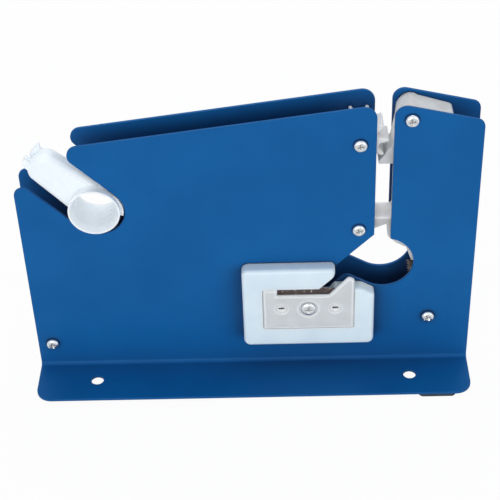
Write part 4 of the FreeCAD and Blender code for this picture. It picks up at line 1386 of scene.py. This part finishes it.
@dataclass
class Trimmer:
    """White block on the front plate with cover, screw and nut."""
    layout: Layout
    block_soft: float = 0.25
    cover_soft: float = 0.08
    cover_face_y: float = -12.9
    counterbore: float = 0.5
    head_radius: float = 3.1
    head_height: float = 1.5
    screw_radius: float = 2.0
    nut_flats: float = 7.0
    nut_height: float = 3.2
    nut_edge: float = 0.2
    nut_stickout: float = 0.6
    side_holes: tuple[Point, ...] = ((12.55, 34.7), (34.45, 34.7))
    web_radius: float = 2.0
    web_depth: Point = (0.75, 1.25)
    web_edge: float = 0.08
    slit: Point = (1.35, 0.5)
    slit_corner: float = 0.45
    slit_drop: float = 0.12

    def cover(self) -> Mesh:
        """The clear cover, with a thin web that leaves a slit in each side hole.

        Returns:
            The mesh.
        """
        mesh = softened("trimmer_cover", self.cover_soft)
        front, rear = (self.cover_face_y + depth for depth in self.web_depth)
        for x, z in self.side_holes:
            slit = rectangle(x, z - self.slit_drop, *self.slit, self.slit_corner)
            web = side_slab([circle(x, z, self.web_radius), slit], front, rear, self.web_edge)
            mesh = combined(mesh, web, "UNION")
        return tidy_mesh(mesh, WELD)

    def build(self, bench: Bench, fasteners: Fasteners) -> None:
        """Makes the block's pieces.

        Args:
            bench: dresses and hangs the pieces.
            fasteners: makes the screws.
        """
        inner = self.layout.inner
        x, z = self.layout.trimmer_screw
        bench.fit("trimmer_block", softened("trimmer_body", self.block_soft), Slot.TRIMMER, "trimmer_body")
        bench.fit("trimmer_window", self.cover(), Slot.COVER, "trimmer_cover")
        seat = self.cover_face_y + self.counterbore
        length = -inner + self.nut_height + self.nut_stickout - seat
        screw = fasteners.screw(self.screw_radius, length, self.head_radius, self.head_height)
        screw.transform(Matrix.Translation((x, seat, z)))
        bench.fit("trimmer_bolt", screw, Slot.ZINC, "trimmer_screw")
        corner = self.nut_flats / 2 / math.cos(math.radians(30))
        hexagon = [polar((x, z), corner, 60.0 * i) for i in range(6)]
        bore = circle(x, z, self.screw_radius + self.layout.running_fit)
        nut = side_slab([hexagon, bore], -inner, self.nut_height - inner, self.nut_edge)
        bench.fit("trimmer_hexagon", nut, Slot.ZINC, "trimmer_nut")


@dataclass
class Blades:
    """The tape knife with its screw, and the strip in the trimmer: hardened steel with ground edges."""
    layout: Layout
    thick: float = 0.5
    edge: float = 0.04
    edge_divisions: int = 1
    knife_tip_x: float = 63.9
    knife_z: float = 45.8
    knife_length: float = 12.0
    knife_width: float = 8.0
    knife_corner: float = 0.8
    teeth: int = 5
    tooth_depth: float = 1.1
    knife_ground: float = 2.6
    hole_radius: float = 1.2
    knife_screw_x: float = 70.7
    shank_radius: float = 1.0
    shank_length: float = 6.0
    knife_head_radius: float = 2.0
    knife_head_height: float = 1.3
    strip_left: float = 6.55
    strip_right: float = 36.5
    strip_bottom: float = 25.6
    strip_top: float = 44.5
    strip_front_y: float = -11.6
    strip_corner: float = 0.6
    strip_ground: float = 1.8
    wave_pitch: float = 3.3
    wave_depth: float = 0.5
    bolt_hole: float = 2.2
    side_hole: float = 1.5
    side_hole_offset: float = 10.95
    ground_share: float = 0.82

    def knife(self) -> Mesh:
        """Flat knife with five points, ground from above.

        Returns:
            The mesh.
        """
        half = self.knife_width / 2
        pitch = self.knife_width / self.teeth
        tip = self.knife_tip_x
        tail = tip + self.knife_length
        corners = [(tail, -half, self.knife_corner), (tail, half, self.knife_corner)]
        for tooth in range(self.teeth):
            top = half - tooth * pitch
            corners += sharp([(tip + self.tooth_depth, top), (tip, top - pitch / 2)])
        corners += sharp([(tip + self.tooth_depth, -half)])
        loops = [rounded(corners), circle(self.knife_screw_x, 0.0, self.hole_radius)]
        mesh = slab(loops, self.knife_z, self.knife_z + self.thick, self.edge, self.edge_divisions)
        return ground(mesh, 0, tip + self.knife_ground, tip, 2, self.knife_z, self.ground_share)

    def strip(self) -> Mesh:
        """Strip with a wavy edge at the top, ground from the front.

        Returns:
            The mesh.
        """
        top, pitch = self.strip_top, self.wave_pitch
        corners = [(self.strip_left, self.strip_bottom, self.strip_corner),
                   (self.strip_right, self.strip_bottom, self.strip_corner), (self.strip_right, top, 0.0)]
        x = self.strip_right - pitch / 2
        while x > self.strip_left + pitch:
            corners += [(x, top - self.wave_depth, pitch / 3), (x - pitch / 2, top, 0.0)]
            x -= pitch
        corners.append((self.strip_left, top, 0.0))
        x, z = self.layout.trimmer_screw
        loops = [rounded(corners), circle(x, z, self.bolt_hole)]
        loops += [circle(x + side * self.side_hole_offset, z, self.side_hole) for side in (-1, 1)]
        back = self.strip_front_y + self.thick
        mesh = side_slab(loops, self.strip_front_y, back, self.edge, self.edge_divisions)
        return ground(mesh, 2, top - self.strip_ground, top, 1, back, self.ground_share)

    def build(self, bench: Bench, fasteners: Fasteners) -> None:
        """Makes both strips and the knife's screw.

        Args:
            bench: dresses and hangs the pieces.
            fasteners: makes the screws.
        """
        bench.fit("tape_knife_strip", self.knife(), Slot.BLADE, "tape_knife")
        bench.fit("trimmer_strip", self.strip(), Slot.BLADE, "trimmer_blade")
        screw = fasteners.screw(self.shank_radius, self.shank_length, self.knife_head_radius,
                                self.knife_head_height)
        screw.transform(Matrix.Rotation(-QUARTER, 4, "X"))
        screw.transform(Matrix.Translation((self.knife_screw_x, 0.0, self.knife_z + self.thick)))
        bench.fit("knife_pan_screw", screw, Slot.ZINC, "knife_screw")


@dataclass
class Mouldings:
    """Star wheel, press lever and tape hub on their own bodies, and the block of knife and spring."""
    parts: tuple[tuple[str, str, float, Slot, Body], ...] = (
        ("star_wheel_moulding", "star_wheel", 0.45, Slot.NYLON, Body.WHEEL),
        ("press_lever_moulding", "press_lever", 0.4, Slot.MILKY, Body.LEVER),
        ("tape_hub_moulding", "tape_hub", 0.5, Slot.HUB, Body.HUB),
        ("knife_carrier", "knife_block", 0.4, Slot.NYLON, Body.FRAME))

    def build(self, bench: Bench) -> None:
        """Makes the four mouldings, each with its own softness of the edges."""
        for name, node, soft, slot, body in self.parts:
            bench.fit(name, softened(node, soft), slot, node, body=body)


# ---------------------------------------------------------------- studio
@dataclass
class Studio:
    """Camera, lamps and floor; lamps and floor are in metres."""
    camera_mm: Place = (13.888, -438.678, 395.398)
    pitch: float = 37.761
    roll: float = -2.3306
    yaw: float = 1.7449
    focal_pixels: float = 1370.97
    frame_pixels: float = 500.0
    half_pixel: float = 0.5
    sensor: float = 36.0
    clip: float = 0.01
    aim: Place = (0.0, 0.0, 0.06)
    sky: tuple[float, ...] = (0.93, 0.97, 1.0, 1.0)
    sky_strength: float = 0.7
    floor_grey: tuple[float, ...] = (0.8, 0.8, 0.8, 1.0)
    floor_white: float = 0.95
    floor_reach: float = 3.0
    floor_cells: int = 8
    lamps: tuple[tuple[str, Place, float, float], ...] = (
        ("key", (-0.35, -1.3, 0.28), 0.9, 7.2),
        ("fill", (0.8, -0.9, 0.45), 0.8, 1.5),
        ("back", (0.0, 0.5, 1.1), 0.8, 4.4))

    def camera(self) -> None:
        """Sets the camera at the maker's viewing angle."""
        data = bpy.data.cameras.new("camera")
        data.sensor_fit = "HORIZONTAL"
        data.sensor_width = self.sensor
        data.lens = self.focal_pixels / self.frame_pixels * self.sensor
        data.shift_x = -self.half_pixel / self.frame_pixels
        data.shift_y = self.half_pixel / self.frame_pixels
        data.clip_start = self.clip
        stand = Matrix.Translation(Vector(self.camera_mm) * MM)
        for degrees, axis in ((self.yaw, "Z"), (90.0 - self.pitch, "X"), (self.roll, "Z")):
            stand @= Matrix.Rotation(math.radians(degrees), 4, axis)
        camera = placed("camera", data)
        camera.matrix_world = stand
        bpy.context.scene.camera = camera

    def lamp(self, name: str, place: Place, size: float, power: float) -> None:
        """Adds a square soft lamp that points at the middle of the object.

        Args:
            name: the lamp's name.
            place: where it hangs, in metres.
            size: its side, in metres.
            power: its power, in watts.
        """
        data = bpy.data.lights.new(name, "AREA")
        data.size = size
        data.energy = power
        lamp = placed(name, data)
        lamp.location = place
        lamp.rotation_euler = (Vector(self.aim) - Vector(place)).to_track_quat("-Z", "Y").to_euler()

    def whiten(self, owner: bpy.types.Material | bpy.types.World, soft: tuple[str, dict], white: str,
               share: float) -> Socket:
        """Shades a world or material white where it is seen and soft where it only lights.

        Args:
            owner: the world or material.
            soft: node type and inputs for the rays that light the object.
            white: node type for the rays from the camera, in gloss and through glass.
            share: how white the latter are.

        Returns:
            The mixed shader.
        """
        wire = wired(owner)
        rays = wire.add("ShaderNodeLightPath").outputs
        seen = wire.math("MAXIMUM", rays["Is Camera Ray"], rays["Is Glossy Ray"])
        seen = wire.math("MAXIMUM", seen, rays["Is Transmission Ray"])
        return wire.add("ShaderNodeMixShader", {
            0: wire.math("MULTIPLY", seen, share), 1: wire.add(*soft).outputs[0],
            2: wire.add(white, {"Color": WHITE, "Strength": 1.0}).outputs[0]}).outputs[0]

    def world(self) -> None:
        """White to the camera, an even soft grey to everything else."""
        world = bpy.data.worlds.new("studio")
        soft = ("ShaderNodeBackground", {"Color": self.sky, "Strength": self.sky_strength})
        mix = self.whiten(world, soft, "ShaderNodeBackground", 1.0)
        Wiring(world.node_tree).add("ShaderNodeOutputWorld", {"Surface": mix})
        bpy.context.scene.world = world

    def floor(self) -> None:
        """Pale floor that keeps a faint shadow."""
        mesh = bpy.data.meshes.new("floor")
        with editing(mesh) as cage:
            bmesh.ops.create_grid(cage, x_segments=self.floor_cells, y_segments=self.floor_cells,
                                  size=self.floor_reach)
        floor = placed("floor", mesh)
        material = bpy.data.materials.new("floor")
        soft = ("ShaderNodeBsdfDiffuse", {"Color": self.floor_grey})
        mix = self.whiten(material, soft, "ShaderNodeEmission", self.floor_white)
        Wiring(material.node_tree).add("ShaderNodeOutputMaterial", {"Surface": mix})
        mesh.materials.append(material)

    def build(self) -> None:
        """Sets the whole studio up."""
        bpy.context.scene.view_settings.view_transform = "Standard"
        self.camera()
        self.world()
        self.floor()
        for lamp in self.lamps:
            self.lamp(*lamp)


def main() -> None:
    """Builds the studio and every sub-assembly in order."""
    logging.basicConfig(level=logging.INFO, format="%(name)s: %(message)s")
    Studio().build()
    layout = Layout()
    bench = Bench()
    repeat = Repeat()
    fasteners = Fasteners(layout)
    SheetPlates(layout).build(bench)
    fasteners.build(bench, repeat)
    FootPads(layout).build(bench, repeat)
    ReturnSpring(layout).build(bench)
    Trimmer(layout).build(bench, fasteners)
    Blades(layout).build(bench, fasteners)
    Mouldings().build(bench)
    bench.dress_nodes()


if __name__ == "__main__":
    main()
